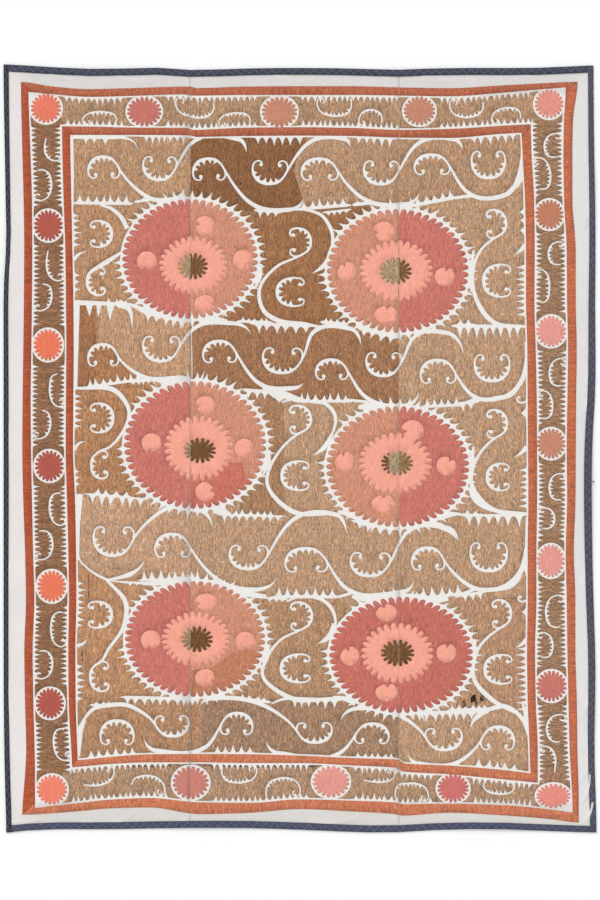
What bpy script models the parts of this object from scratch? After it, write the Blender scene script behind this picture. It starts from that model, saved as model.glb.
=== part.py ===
"""A suzani: an embroidered cloth that lies face up and spread out on a flat surface.

Three long cotton panels are sewn edge to edge, and four narrow folded strips bind the raw edges. The side
strips run the whole height, and the top and bottom strips fit between them. +X is to the right and +Y is
towards the top of the cloth, seen from above its face. The underside lies at Z = 0, apart from the edge,
which the fold of the binding lifts, and a few low ripples along it.
"""

import bmesh
import bpy
import numpy as np

CM = 0.01
MM = 0.001

GAP = 0.3 * MM
BUTT_GAP = 0.5 * MM
CLOTH_THICK = 1.6 * MM
STRIP_THICK = 1.0 * MM
FOLD_OUT = STRIP_THICK + GAP
# A chamfer this far from a square corner clears it by the gap
CHAMFER = (np.sqrt(2.0) - 1.0) * GAP

# Where the seams between the panels lie, left and right of the middle
LEFT_SEAM = -32.9 * CM
RIGHT_SEAM = 29.7 * CM

# Where the bound edge lies. Columns: place along the side, distance out from the middle, both in cm
LEFT_EDGE = (
    (-115.2, 88.1),
    (-98.0, 88.5),
    (-60.0, 88.9),
    (0.0, 88.9),
    (40.0, 88.9),
    (50.0, 88.7),
    (60.0, 88.1),
    (75.0, 88.3),
    (115.2, 88.9),
)
RIGHT_EDGE = (
    (-115.2, 88.9),
    (-90.0, 88.3),
    (-60.0, 88.5),
    (-45.0, 88.0),
    (-33.0, 87.7),
    (5.0, 87.8),
    (15.0, 88.4),
    (45.0, 88.5),
    (60.0, 88.6),
    (90.0, 88.2),
    (115.2, 88.0),
)
TOP_EDGE = (
    (-88.9, 115.2),
    (-76.5, 114.5),
    (-60.0, 113.8),
    (-42.0, 114.2),
    (-31.0, 113.5),
    (-20.0, 113.9),
    (15.0, 114.0),
    (30.0, 113.6),
    (40.0, 114.0),
    (75.0, 114.3),
    (88.9, 114.9),
)
BOTTOM_EDGE = (
    (-88.9, 115.2),
    (-83.0, 114.6),
    (-55.0, 114.1),
    (-30.0, 113.7),
    (-14.0, 113.8),
    (0.0, 114.3),
    (30.0, 115.0),
    (38.0, 114.5),
    (60.0, 114.1),
    (75.0, 114.7),
    (88.9, 115.1),
)

# How wide each strip shows on the face. Columns: place along the side, width, both in cm
LEFT_STRIP = ((-115.2, 1.5), (-60.0, 1.3), (0.0, 1.4), (60.0, 1.2), (115.2, 1.4))
RIGHT_STRIP = ((-115.2, 1.8), (-60.0, 2.0), (0.0, 2.2), (60.0, 1.7), (115.2, 1.5))
TOP_STRIP = ((-88.9, 2.0), (0.0, 1.9), (88.9, 2.0))
BOTTOM_STRIP = ((-88.9, 1.9), (0.0, 2.0), (88.9, 1.8))

# How far the edge rises off the surface in a ripple. Columns: place along the side in cm, rise in mm
LEFT_RIPPLE = ((-104.0, 0.0), (-86.0, 2.2), (-70.0, 0.0), (28.0, 0.0), (54.0, 3.6), (78.0, 0.0))
RIGHT_RIPPLE = (
    (-96.0, 0.0),
    (-76.0, 2.6),
    (-58.0, 0.0),
    (-46.0, 0.0),
    (-14.0, 4.2),
    (18.0, 0.0),
    (60.0, 0.0),
    (76.0, 2.4),
    (94.0, 0.0),
)
TOP_RIPPLE = ((-72.0, 0.0), (-58.0, 2.8), (-44.0, 0.0), (20.0, 0.0), (32.0, 2.4), (44.0, 0.0))
BOTTOM_RIPPLE = (
    (-48.0, 0.0),
    (-26.0, 3.4),
    (-6.0, 0.0),
    (40.0, 0.0),
    (58.0, 3.8),
    (76.0, 0.0),
)
RIPPLE_REACH = 17 * CM
LIFT_REACH = 5 * CM

# The grid that shapes the cloth: a line on each edge and on each strip's inner edge, the next one this far
# in, and even ones between. COLUMNS are the cells across each panel.
FIRST_LINE_IN = 4.5 * CM
EVEN_ROWS = 31
ROWS = EVEN_ROWS + 4
COLUMNS = (6, 7, 6)

COTTON = (0.86, 0.83, 0.80)
NAVY_COTTON = (0.045, 0.052, 0.085)


def at(table, place):
    """The table's second column at a place along the side, smooth from row to row."""
    places, values = np.array(table, float).T
    k = int(np.clip(np.searchsorted(places, place) - 1, 0, len(places) - 2))
    slopes = np.gradient(values, places)
    for i in range(len(values) - 1):
        if values[i] == values[i + 1]:
            slopes[i : i + 2] = 0.0
    slopes[[0, -1]] = 0.0
    step = places[k + 1] - places[k]
    t = float(np.clip((place - places[k]) / step, 0.0, 1.0))
    near = values[k] * (1 + 2 * t) * (1 - t) ** 2 + values[k + 1] * t * t * (3 - 2 * t)
    return near + step * (slopes[k] * t * (1 - t) ** 2 - slopes[k + 1] * t * t * (1 - t))


def fade(distance, start, reach):
    """1 up to start, then softly down to 0 at start + reach."""
    t = float(np.clip((distance - start) / reach, 0.0, 1.0))
    return 1 - t * t * (3 - 2 * t)


def side(edge, strip, ripple, place):
    """(cloth's edge out from the middle, strip's width, rise), in metres, at a place along one side."""
    place = place / CM
    return at(edge, place) * CM - FOLD_OUT, at(strip, place) * CM, max(0.0, at(ripple, place)) * MM


def left(y):
    return side(LEFT_EDGE, LEFT_STRIP, LEFT_RIPPLE, y)


def right(y):
    return side(RIGHT_EDGE, RIGHT_STRIP, RIGHT_RIPPLE, y)


def top(x):
    return side(TOP_EDGE, TOP_STRIP, TOP_RIPPLE, x)


def bottom(x):
    return side(BOTTOM_EDGE, BOTTOM_STRIP, BOTTOM_RIPPLE, x)


def underside(x, y):
    """Height of the cloth's underside: the binding lifts its edge, and ripples lift it further."""
    lift, ripple = 0.0, 0.0
    for (edge, strip, rise), out in ((left(y), -x), (right(y), x), (top(x), y), (bottom(x), -y)):
        lift = max(lift, fade(edge - out, strip, LIFT_REACH))
        ripple += rise * fade(edge - out, strip, RIPPLE_REACH)
    return FOLD_OUT * lift + ripple


def height(row, x):
    """Y of a row of the grid at x."""
    (low, low_strip, _), (high, high_strip, _) = bottom(x), top(x)
    low_lip, high_lip = low_strip - low, high - high_strip
    even = np.linspace(low_lip + FIRST_LINE_IN, high_lip - FIRST_LINE_IN, EVEN_ROWS)
    return (-low, low_lip, *even, high_lip, high)[row]


def level(row):
    """Y of a row on an even cloth, to read the side tables at."""
    return height(row, 0.0)


def panel_lines(number, y):
    """X of the grid's columns across one panel at y."""
    edge_left, strip_left, _ = left(y)
    edge_right, strip_right, _ = right(y)
    start = (-edge_left, LEFT_SEAM + GAP / 2, RIGHT_SEAM + GAP / 2)[number]
    end = (LEFT_SEAM - GAP / 2, RIGHT_SEAM - GAP / 2, edge_right)[number]
    cells = COLUMNS[number]
    if number == 1:
        return [*np.linspace(start, end, cells + 1)]
    if number == 0:
        lip = start + strip_left
        return [start, lip, *np.linspace(lip + FIRST_LINE_IN, end, cells)]
    lip = end - strip_right
    return [*np.linspace(start, lip - FIRST_LINE_IN, cells), lip, end]


def material(name, colour):
    made = bpy.data.materials.new(name)
    made.use_nodes = True
    shader = made.node_tree.nodes["Principled BSDF"]
    shader.inputs["Base Color"].default_value = (*colour, 1.0)
    shader.inputs["Roughness"].default_value = 0.9
    shader.inputs["Metallic"].default_value = 0.0
    return made


def sheet(name, look, places, thick):
    """A sheet of cloth through places[row][column], made thick on the side that its faces look to."""
    across, along = len(places[0]), len(places)
    shape = bmesh.new()
    bmesh.ops.create_grid(shape, x_segments=across - 1, y_segments=along - 1, size=1.0)
    for vert in shape.verts:
        column = round((vert.co.x + 1) / 2 * (across - 1))
        row = round((vert.co.y + 1) / 2 * (along - 1))
        vert.co = places[row][column]
    mesh = bpy.data.meshes.new(name)
    shape.to_mesh(mesh)
    shape.free()
    mesh.shade_smooth()
    mesh.set_sharp_from_angle(angle=np.radians(50))
    mesh.materials.append(look)
    cloth = bpy.data.objects.new(name, mesh)
    bpy.data.collections["suzani_textile"].objects.link(cloth)
    body = cloth.modifiers.new("Thickness", "SOLIDIFY")
    body.thickness = thick
    body.offset = 1.0
    body.use_even_offset = True
    return cloth


def ground_panel(name, number, look):
    rows = []
    for row in range(ROWS):
        line = []
        for x in panel_lines(number, level(row)):
            y = height(row, x)
            line.append((x, y, underside(x, y)))
        rows.append(line)
    sheet(name, look, rows, CLOTH_THICK)


def fold(edge, lip, out, z):
    """The inner face of a strip folded round the cloth's edge, from its lip below to its lip above.

    edge and lip are points on the surface, out is the direction off the cloth and z its underside there.
    """
    edge, lip, out = np.array(edge), np.array(lip), np.array(out)
    low, high = z - GAP, z + CLOTH_THICK + GAP
    halfway = (edge + lip) / 2
    profile = (
        (lip, low),
        (halfway, low),
        (edge + out * CHAMFER, low),
        (edge + out * GAP, z - CHAMFER),
        (edge + out * GAP, z + CLOTH_THICK + CHAMFER),
        (edge + out * CHAMFER, high),
        (halfway, high),
        (lip, high),
    )
    return [(*place, z_there) for place, z_there in profile]


def side_strip(name, facing, look):
    """A side strip. facing is -1 at the left and 1 at the right."""
    stations = []
    for row in range(ROWS):
        y_level = level(row)
        edge, width, _ = (left if facing < 0 else right)(y_level)
        edge_x, lip_x = facing * edge, facing * (edge - width)
        edge_y, lip_y = height(row, edge_x), height(row, lip_x)
        z = underside(edge_x, edge_y)
        past = 0.0
        if row in (0, ROWS - 1):
            past = FOLD_OUT if row else -FOLD_OUT
        stations.append(fold((edge_x, edge_y + past), (lip_x, lip_y + past), (facing, 0.0), z))
    sheet(name, look, stations if facing < 0 else stations[::-1], STRIP_THICK)


def end_strip(name, facing, look):
    """The top or bottom strip, between the side strips. facing is 1 at the top and -1 at the bottom."""
    y_level = level(ROWS - 1 if facing > 0 else 0)
    left_edge, left_width, _ = left(y_level)
    right_edge, right_width, _ = right(y_level)
    first, last = left_width - left_edge + BUTT_GAP, right_edge - right_width - BUTT_GAP
    inner = [
        *panel_lines(0, y_level)[2:-1],
        LEFT_SEAM,
        *panel_lines(1, y_level)[1:-1],
        RIGHT_SEAM,
        *panel_lines(2, y_level)[1:-2],
    ]
    stations = []
    for x in [first, *inner, last]:
        edge, width, _ = (top if facing > 0 else bottom)(x)
        z = underside(x, facing * edge)
        stations.append(fold((x, facing * edge), (x, facing * (edge - width)), (0.0, facing), z))
    sheet(name, look, stations if facing > 0 else stations[::-1], STRIP_THICK)


for old in list(bpy.data.objects):
    bpy.data.objects.remove(old, do_unlink=True)
bpy.context.scene.collection.children.link(bpy.data.collections.new("suzani_textile"))

cotton = material("ground_cotton", COTTON)
navy = material("binding_cotton", NAVY_COTTON)

ground_panel("panel_left", 0, cotton)
ground_panel("panel_middle", 1, cotton)
ground_panel("panel_right", 2, cotton)
side_strip("binding_left", -1, navy)
side_strip("binding_right", 1, navy)
end_strip("binding_top", 1, navy)
end_strip("binding_bottom", -1, navy)
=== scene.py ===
"""The looks of a suzani: an embroidered cloth spread out flat and seen from above its face.

The file follows the cloth as it is made: three cotton panels, the couched red lines, the border and the
field in laid silk, the roundels, the seams, the binding and the marks of wear. Places and widths in the
tables are in centimetres from the middle of the cloth, +X to the right and +Y towards its top.
"""

import bmesh
import bpy
import numpy as np
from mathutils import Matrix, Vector
from mathutils.bvhtree import BVHTree
from mathutils.geometry import delaunay_2d_cdt


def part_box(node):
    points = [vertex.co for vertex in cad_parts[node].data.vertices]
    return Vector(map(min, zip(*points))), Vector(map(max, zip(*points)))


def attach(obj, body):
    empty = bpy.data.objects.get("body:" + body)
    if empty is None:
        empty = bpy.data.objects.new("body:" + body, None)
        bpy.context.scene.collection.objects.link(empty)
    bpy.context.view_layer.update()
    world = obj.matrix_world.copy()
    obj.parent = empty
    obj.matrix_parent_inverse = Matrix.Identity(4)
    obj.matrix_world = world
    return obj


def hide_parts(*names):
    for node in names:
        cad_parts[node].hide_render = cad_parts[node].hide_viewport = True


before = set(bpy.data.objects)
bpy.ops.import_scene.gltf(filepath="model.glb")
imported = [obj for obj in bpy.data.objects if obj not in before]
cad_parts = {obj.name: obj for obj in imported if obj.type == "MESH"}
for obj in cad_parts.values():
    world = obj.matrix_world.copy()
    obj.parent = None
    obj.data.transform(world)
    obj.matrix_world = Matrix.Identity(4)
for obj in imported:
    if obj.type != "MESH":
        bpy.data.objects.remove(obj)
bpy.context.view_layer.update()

# The three cotton panels
# Hand-woven cotton, each panel one loom width, sewn edge to edge. The cloth lies as the imported panels do,
# with soft creases from folding added where they show at its bare edge.

CM = 0.01
MM = 0.001
COTTON_THICK = 0.9 * MM
STITCH_RISE = 0.7 * MM
SEAM_DIP = 0.06
SEAM_REACH = 0.35
PANELS = ("left", "middle", "right")
LEFT_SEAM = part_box("panel_middle")[0].x / CM
RIGHT_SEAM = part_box("panel_middle")[1].x / CM

# The slanting line at each corner of the cloth where a side's colour turns into an end's: how far its y lies
# beyond its x, and over how much the bare band's colour changes
MITRE = 26.8
MITRE_BLEND = 8.0

# The bare band outside the embroidery, from this far out to the sides and to the ends
BARE_SIDE = 81.5
BARE_END = 106.0
COTTON = (240, 237, 233)
EDGE_LEFT = (236, 230, 229)
EDGE_RIGHT = (229, 227, 225)
EDGE_TOP = (222, 219, 217)
EDGE_BOTTOM = (221, 217, 212)

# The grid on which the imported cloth's height is kept, a little larger than the cloth, how far out it is
# measured, and how often it is softened. The places beyond take the height of the nearest one
HEIGHT_PITCH = 2.0
GRID_SIDE = 92.0
GRID_END = 118.0
MEASURED_SIDE = 87.0
MEASURED_END = 113.0
SOFTENINGS = 3

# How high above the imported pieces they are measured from, how close two of their vertices are that count as
# one, and how steeply the faces of a panel look up that aren't its rim or underside
ABOVE = 0.1
WELD = 0.01 * MM
LOOKS_UP = 0.7

# How far a crease bows to one side, as a share of its length times its half width
CREASE_BOW = 0.12

# Creases. Columns: x and y of one end, x and y of the other, rise in mm, half width
CREASES = (
    (84.8, -112.9, 87.8, -105.6, 2.6, 0.7),
    (84.8, -106.0, 86.9, -97.0, 2.4, 0.7),
    (84.9, -99.0, 86.0, -86.0, 2.0, 0.7),
    (84.6, -80.0, 87.5, -66.0, 2.0, 0.8),
    (84.8, -40.0, 86.6, -18.0, 1.6, 0.7),
    (84.6, 10.0, 87.0, 24.0, 2.0, 0.8),
    (84.7, 66.0, 87.0, 84.0, 2.0, 0.8),
    (66.0, 113.6, 70.5, 110.9, 2.0, 0.7),
    (36.0, 112.6, 46.0, 110.2, 2.0, 0.8),
    (-8.0, 112.4, 4.0, 110.4, 1.7, 0.7),
    (-56.0, 112.8, -44.0, 110.0, 2.0, 0.8),
    (-76.0, 113.4, -68.5, 110.6, 1.9, 0.7),
    (-87.2, 62.0, -84.6, 48.0, 2.2, 0.8),
    (-87.0, 8.0, -84.9, -8.0, 2.0, 0.7),
    (-86.8, -34.0, -84.4, -46.0, 1.8, 0.8),
    (-87.0, -70.0, -84.4, -84.0, 2.2, 0.8),
    (-86.4, -111.9, -78.0, -111.2, 2.0, 0.6),
    (-66.0, -112.4, -50.0, -109.9, 1.9, 0.8),
    (-40.0, -112.8, -34.0, -111.4, 2.0, 0.7),
    (2.0, -111.6, 18.0, -110.5, 1.8, 0.6),
)


def straight_down(tree, x, y):
    """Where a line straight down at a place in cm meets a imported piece, or None."""
    return tree.ray_cast(Vector((x * CM, y * CM, ABOVE)), Vector((0.0, 0.0, -1.0)))[0]


def packed_heights():
    """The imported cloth's top on an even grid, softened so that its facets don't show."""
    shape = bmesh.new()
    for panel in PANELS:
        shape.from_mesh(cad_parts["panel_" + panel].data)
    tree = BVHTree.FromBMesh(shape)
    shape.free()
    across = np.arange(-GRID_SIDE, GRID_SIDE + 0.1, HEIGHT_PITCH)
    along = np.arange(-GRID_END, GRID_END + 0.1, HEIGHT_PITCH)
    heights = np.zeros((len(across), len(along)))
    for i, x in enumerate(np.clip(across, -MEASURED_SIDE, MEASURED_SIDE)):
        for j, y in enumerate(np.clip(along, -MEASURED_END, MEASURED_END)):
            heights[i, j] = straight_down(tree, x, y).z
    for _ in range(SOFTENINGS):
        padded = np.pad(heights, 1, mode="edge")
        heights = (padded[:-2] + 2 * padded[1:-1] + padded[2:])[:, 1:-1] / 4
        padded = np.pad(heights, 1, mode="edge")
        heights = (padded[:, :-2] + 2 * padded[:, 1:-1] + padded[:, 2:])[1:-1] / 4
    return across, along, heights


ACROSS, ALONG, HEIGHTS = packed_heights()


def level(x, y):
    """Height in metres of the cloth's face at places in cm."""
    i = np.clip((x - ACROSS[0]) / HEIGHT_PITCH, 0, len(ACROSS) - 1.001)
    j = np.clip((y - ALONG[0]) / HEIGHT_PITCH, 0, len(ALONG) - 1.001)
    i0, j0 = i.astype(int), j.astype(int)
    s, t = i - i0, j - j0
    near = HEIGHTS[i0, j0] * (1 - t) + HEIGHTS[i0, j0 + 1] * t
    far = HEIGHTS[i0 + 1, j0] * (1 - t) + HEIGHTS[i0 + 1, j0 + 1] * t
    up = near * (1 - s) + far * s
    for x0, y0, x1, y1, rise, half in CREASES:
        run = np.hypot(x1 - x0, y1 - y0)
        ahead = ((x - x0) * (x1 - x0) + (y - y0) * (y1 - y0)) / run
        aside = ((x - x0) * (y1 - y0) - (y - y0) * (x1 - x0)) / run
        aside = aside - CREASE_BOW * run * np.sin(np.pi * np.clip(ahead / run, 0, 1)) * half
        fade = np.clip(np.minimum(ahead + half, run + half - ahead) / (2 * half), 0, 1)
        up = up + rise * MM * fade * np.exp(-((aside / half) ** 2))
    for seam in (LEFT_SEAM, RIGHT_SEAM):
        up = up - SEAM_DIP * MM * np.exp(-(((x - seam) / SEAM_REACH) ** 2))
    return up


def linear(colour):
    """A colour given in 0 to 255, as the shaders count it."""
    share = np.array(colour, float) / 255
    return np.where(share < 0.04045, share / 12.92, ((share + 0.055) / 1.055) ** 2.4)


def add(look, kind, links=(), **values):
    """A node in a material. values are its settings and inputs, and links the outputs it takes."""
    made = look.node_tree.nodes.new("ShaderNode" + kind)
    for name, value in values.items():
        if hasattr(made, name):
            setattr(made, name, value)
        else:
            made.inputs[name.replace("_", " ")].default_value = value
    for socket, source in links:
        look.node_tree.links.new(source, made.inputs[socket])
    return made


def material(name, roughness, sheen):
    """A material and its shader, with the finish that is the same all over."""
    look = bpy.data.materials.new(name)
    look.use_nodes = True
    shader = look.node_tree.nodes["Principled BSDF"]
    shader.inputs["Roughness"].default_value = roughness
    shader.inputs["Sheen Weight"].default_value = sheen
    shader.inputs["Specular IOR Level"].default_value = 0.25
    return look, shader


# The range that most of Blender's noise lies in
NOISE_LOW = 0.34
NOISE_HIGH = 0.66


def noise(look, scale, low, high, seed=0.0):
    """A soft factor from low to high. scale is how many spots there are to a metre each way."""
    place = add(look, "TexCoord").outputs["Object"]
    mapped = add(look, "Mapping", [("Vector", place)], Scale=scale, Location=(seed, seed, 0.0))
    spots = add(look, "TexNoise", [("Vector", mapped.outputs[0])], Scale=1.0, Detail=2.0)
    between = {"From_Min": NOISE_LOW, "From_Max": NOISE_HIGH, "To_Min": low, "To_Max": high}
    return add(look, "MapRange", [("Value", spots.outputs["Fac"])], **between).outputs[0]


def times(look, *factors):
    """The product of several factors."""
    so_far = factors[0]
    for factor in factors[1:]:
        joined = add(look, "Math", [(0, so_far), (1, factor)], operation="MULTIPLY")
        so_far = joined.outputs[0]
    return so_far


def tint(look, shader, colour, factor, bump, height):
    """Gives a shader its colour times a factor, and a relief of height metres."""
    shaded = add(look, "VectorMath", [("Vector", colour), ("Scale", factor)], operation="SCALE")
    look.node_tree.links.new(shaded.outputs[0], shader.inputs["Base Color"])
    relief = add(look, "Bump", [("Height", bump)], Strength=1.0, Distance=height)
    look.node_tree.links.new(relief.outputs[0], shader.inputs["Normal"])


def cotton_look():
    look, shader = material("hand_woven_cotton", 0.92, 0.15)
    painted = add(look, "Attribute", attribute_name="thread").outputs["Color"]
    weft = noise(look, (60.0, 1400.0, 0.0), 0.97, 1.03)
    warp = noise(look, (1400.0, 60.0, 0.0), 0.97, 1.03, seed=3.0)
    soil = noise(look, (9.0, 9.0, 0.0), 0.975, 1.012, seed=5.0)
    tint(look, shader, painted, times(look, weft, warp, soil), times(look, weft, warp), 0.004)
    return look


def paint(mesh, colours):
    """Colours each face of a mesh, one row of colours in 0 to 255 for each."""
    layer = mesh.color_attributes.new("thread", "FLOAT_COLOR", "CORNER")
    corners = np.repeat(linear(colours), [len(face.vertices) for face in mesh.polygons], axis=0)
    layer.data.foreach_set("color", np.column_stack([corners, np.ones(len(corners))]).ravel())


def piece(name, mesh, look):
    """An object of the cloth, with its material, that rides on the one body."""
    made = bpy.data.objects.new(name, mesh)
    bpy.context.scene.collection.objects.link(made)
    mesh.materials.append(look)
    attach(made, "root")
    return made


def thicken(made, thick):
    """Gives a sheet its thickness on the underside."""
    body = made.modifiers.new("thickness", "SOLIDIFY")
    body.thickness = thick
    body.offset = -1.0


def at_bare_edge(x, y):
    """Whether places in cm are in the plain band outside the embroidery."""
    return (abs(x) > BARE_SIDE) | (abs(y) > BARE_END)


def packed_shape(node):
    """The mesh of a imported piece, with its vertices joined."""
    shape = bmesh.new()
    shape.from_mesh(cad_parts[node].data)
    bmesh.ops.remove_doubles(shape, verts=shape.verts, dist=WELD)
    return shape


def cotton_panel(panel, look):
    """One panel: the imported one's face, in finer triangles, with the creases and a thickness of its own."""
    node = "panel_" + panel
    shape = packed_shape(node)
    rim_and_under = [face for face in shape.faces if face.normal.z < LOOKS_UP]
    bmesh.ops.delete(shape, geom=rim_and_under, context="FACES")
    bmesh.ops.subdivide_edges(shape, edges=shape.edges, cuts=5, use_grid_fill=True)
    bare = [edge for edge in shape.edges if all(at_bare_edge(*vert.co.xy / CM) for vert in edge.verts)]
    bmesh.ops.subdivide_edges(shape, edges=bare, cuts=2, use_grid_fill=True)
    heights = level(*np.array([vert.co.xy for vert in shape.verts]).T / CM) - STITCH_RISE
    for vert, height in zip(shape.verts, heights):
        vert.co.z = height
    mesh = bpy.data.meshes.new("cotton_" + panel)
    shape.to_mesh(mesh)
    shape.free()
    mesh.shade_smooth()
    x, y = np.array([face.center.xy for face in mesh.polygons]).T[:, :, None] / CM
    beside_it = np.clip((np.abs(x) + MITRE - np.abs(y)) / MITRE_BLEND + 0.5, 0, 1)
    flank = np.where(x > 0, EDGE_RIGHT, EDGE_LEFT) * beside_it
    end = np.where(y > 0, EDGE_TOP, EDGE_BOTTOM) * (1 - beside_it)
    colours = np.where(at_bare_edge(x, y), flank + end, COTTON)
    paint(mesh, colours)
    made = piece("cotton_" + panel, mesh, look)
    thicken(made, COTTON_THICK)
    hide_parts(node)
    return made


cotton = cotton_look()
ground = {panel: cotton_panel(panel, cotton) for panel in PANELS}

# The couched red lines
# Two frames of rust wool laid across a band and sewn down in rows. They cross the seams, where the panels
# were joined a little out of step, so the lines at the top and bottom jog there.

STITCH_THICK = 0.8 * MM
LINE_BARE = 0.5
LINE_STEPS = 80

# Where the four edges of the two lines lie, out from the middle, from the outermost in.
# Columns: place along the side, then the four distances
LEFT_LINES = (
    (-110.0, 83.3, 79.5, 68.4, 66.5),
    (-98.0, 82.5, 79.5, 68.3, 66.5),
    (-90.4, 82.1, 79.6, 68.6, 66.8),
    (-75.4, 82.5, 80.0, 69.4, 67.3),
    (-60.4, 82.7, 80.2, 69.5, 67.4),
    (-45.4, 82.2, 79.7, 69.3, 67.1),
    (-30.4, 82.5, 80.1, 69.5, 67.2),
    (-15.4, 83.0, 80.4, 69.9, 67.5),
    (0.0, 83.3, 80.7, 70.3, 68.1),
    (14.6, 83.2, 80.8, 70.2, 68.0),
    (29.6, 83.0, 80.6, 70.1, 67.9),
    (44.6, 82.8, 80.4, 70.2, 68.0),
    (59.6, 82.7, 80.3, 70.4, 68.3),
    (74.6, 82.9, 80.4, 70.9, 68.6),
    (89.6, 83.3, 80.9, 71.3, 68.9),
    (110.0, 83.7, 81.5, 71.5, 69.1),
)
RIGHT_LINES = (
    (-112.0, 83.6, 81.8, 71.3, 69.2),
    (-105.4, 83.6, 81.7, 71.3, 69.2),
    (-90.4, 83.2, 80.9, 71.3, 68.9),
    (-75.4, 83.0, 80.5, 70.7, 68.3),
    (-60.4, 82.6, 80.2, 70.5, 68.1),
    (-45.4, 82.6, 80.0, 70.9, 68.3),
    (-30.4, 82.1, 79.7, 70.9, 68.3),
    (-15.4, 82.6, 80.1, 71.1, 68.5),
    (0.0, 82.7, 80.0, 71.1, 68.4),
    (14.6, 82.8, 80.2, 71.0, 68.3),
    (29.6, 83.0, 80.4, 70.7, 68.2),
    (44.6, 82.7, 80.1, 70.3, 67.8),
    (59.6, 82.7, 80.0, 70.4, 67.8),
    (74.6, 81.7, 79.2, 70.2, 67.5),
    (89.6, 81.7, 79.0, 69.4, 66.7),
    (98.6, 81.9, 79.2, 69.2, 66.4),
    (110.3, 83.3, 79.8, 69.2, 66.4),
)
TOP_LINES = (
    (-83.7, 110.0, 107.1, 96.7, 94.1),
    (-75.0, 108.7, 106.4, 96.7, 94.1),
    (-63.0, 107.8, 105.5, 96.6, 94.1),
    (-51.0, 108.1, 105.8, 96.3, 94.1),
    (-33.0, 108.6, 106.3, 96.2, 94.0),
    (-32.8, 108.1, 105.9, 95.6, 93.5),
    (-15.0, 108.6, 106.1, 96.3, 93.8),
    (0.0, 108.7, 106.1, 96.4, 93.9),
    (15.0, 108.7, 106.1, 96.2, 93.8),
    (30.0, 108.3, 105.9, 95.6, 93.3),
    (45.0, 108.1, 105.7, 95.9, 93.2),
    (60.0, 108.9, 106.7, 96.8, 94.4),
    (75.0, 109.7, 108.0, 97.6, 95.2),
    (83.1, 110.0, 108.5, 98.0, 95.6),
)
BOTTOM_LINES = (
    (-83.1, 109.8, 108.0, 96.2, 93.7),
    (-72.0, 109.2, 106.9, 95.8, 93.7),
    (-66.0, 108.7, 106.3, 95.4, 93.4),
    (-57.0, 107.9, 105.3, 94.6, 92.5),
    (-45.0, 107.6, 104.8, 94.1, 91.7),
    (-30.0, 109.6, 106.1, 94.1, 91.6),
    (-15.0, 109.2, 106.3, 94.3, 91.7),
    (0.0, 108.1, 105.2, 94.3, 92.1),
    (15.0, 108.8, 105.6, 95.0, 92.8),
    (29.6, 109.8, 106.2, 95.8, 93.3),
    (29.8, 110.1, 106.7, 96.7, 94.3),
    (45.0, 109.2, 106.5, 97.7, 95.1),
    (60.0, 109.9, 106.9, 99.1, 96.3),
    (75.0, 111.1, 108.2, 100.6, 98.1),
    (83.4, 112.1, 109.2, 101.4, 98.9),
)
SIDES = {"left": LEFT_LINES, "right": RIGHT_LINES, "top": TOP_LINES, "bottom": BOTTOM_LINES}
RED_LEFT = (178, 86, 55)
RED_TOP = (178, 104, 79)
RED_RIGHT = (192, 110, 80)
RED_BOTTOM = (198, 122, 94)


def eased(at, values, slopes, places):
    """Values at places between those of a table, on smooth curves with the slopes given for its rows."""
    k = np.clip(np.searchsorted(at, places) - 1, 0, len(at) - 2)
    step = at[k + 1] - at[k]
    t = (places - at[k]) / step
    if values.ndim > 1:
        step, t = step[:, None], t[:, None]
    near = values[k] * (1 + 2 * t) * (1 - t) ** 2 + values[k + 1] * t * t * (3 - 2 * t)
    return near + step * (slopes[k] * t * (1 - t) ** 2 - slopes[k + 1] * t * t * (1 - t))


def edge_at(side, edge, places):
    """How far out an edge of the red lines lies at places along a side, smooth from row to row."""
    rows = np.array(SIDES[side])
    at, out = rows[:, 0], rows[:, 1 + edge]
    secants = np.diff(out) / np.diff(at)
    before, after = secants[:-1], secants[1:]
    slopes = np.zeros(len(at))
    same = before * after > 0
    slopes[1:-1][same] = 2 * before[same] * after[same] / (before[same] + after[same])
    return eased(at, out, slopes, np.clip(places, at[0], at[-1]))


def on_side(side, place, out):
    """Points at places along a side and distances out from the middle."""
    place, out = np.broadcast_arrays(np.asarray(place, float), np.asarray(out, float))
    turned = {"left": (-out, place), "right": (out, place), "top": (place, out), "bottom": (place, -out)}
    return np.stack(turned[side], axis=-1)


def corner(upright, level_side, edge, in_by):
    """Where an edge of two sides meets, in_by inside it."""
    x = y = 0.0
    for _ in range(5):
        x = on_side(upright, y, edge_at(upright, edge, y) - in_by)[0]
        y = on_side(level_side, x, edge_at(level_side, edge, x) - in_by)[1]
    return x, y


def frame_outline(edge, in_by=0.0):
    """The closed outline along one edge of the red lines, in_by inside it."""
    top_left, top_right = corner("left", "top", edge, in_by), corner("right", "top", edge, in_by)
    low_left, low_right = corner("left", "bottom", edge, in_by), corner("right", "bottom", edge, in_by)
    outline = []
    for side, start, end in (
        ("bottom", low_left[0], low_right[0]),
        ("right", low_right[1], top_right[1]),
        ("top", top_right[0], top_left[0]),
        ("left", top_left[1], low_left[1]),
    ):
        places = np.linspace(start, end, LINE_STEPS)[:-1]
        outline.append(on_side(side, places, edge_at(side, edge, places) - in_by))
    return np.concatenate(outline)


def inside(points, outline):
    """Which points lie in a closed outline, counting how often it winds round each."""
    near = np.all((points >= outline.min(0)) & (points <= outline.max(0)), axis=1)
    x, y = points[near].T[:, :, None]
    (ax, ay), (bx, by) = outline.T, np.roll(outline, -1, axis=0).T
    aside = (bx - ax) * (y - ay) - (by - ay) * (x - ax)
    up = (ay <= y) & (by > y) & (aside > 0)
    down = (ay > y) & (by <= y) & (aside < 0)
    found = np.zeros(len(points), bool)
    found[near] = up.sum(1) != down.sum(1)
    return found


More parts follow.
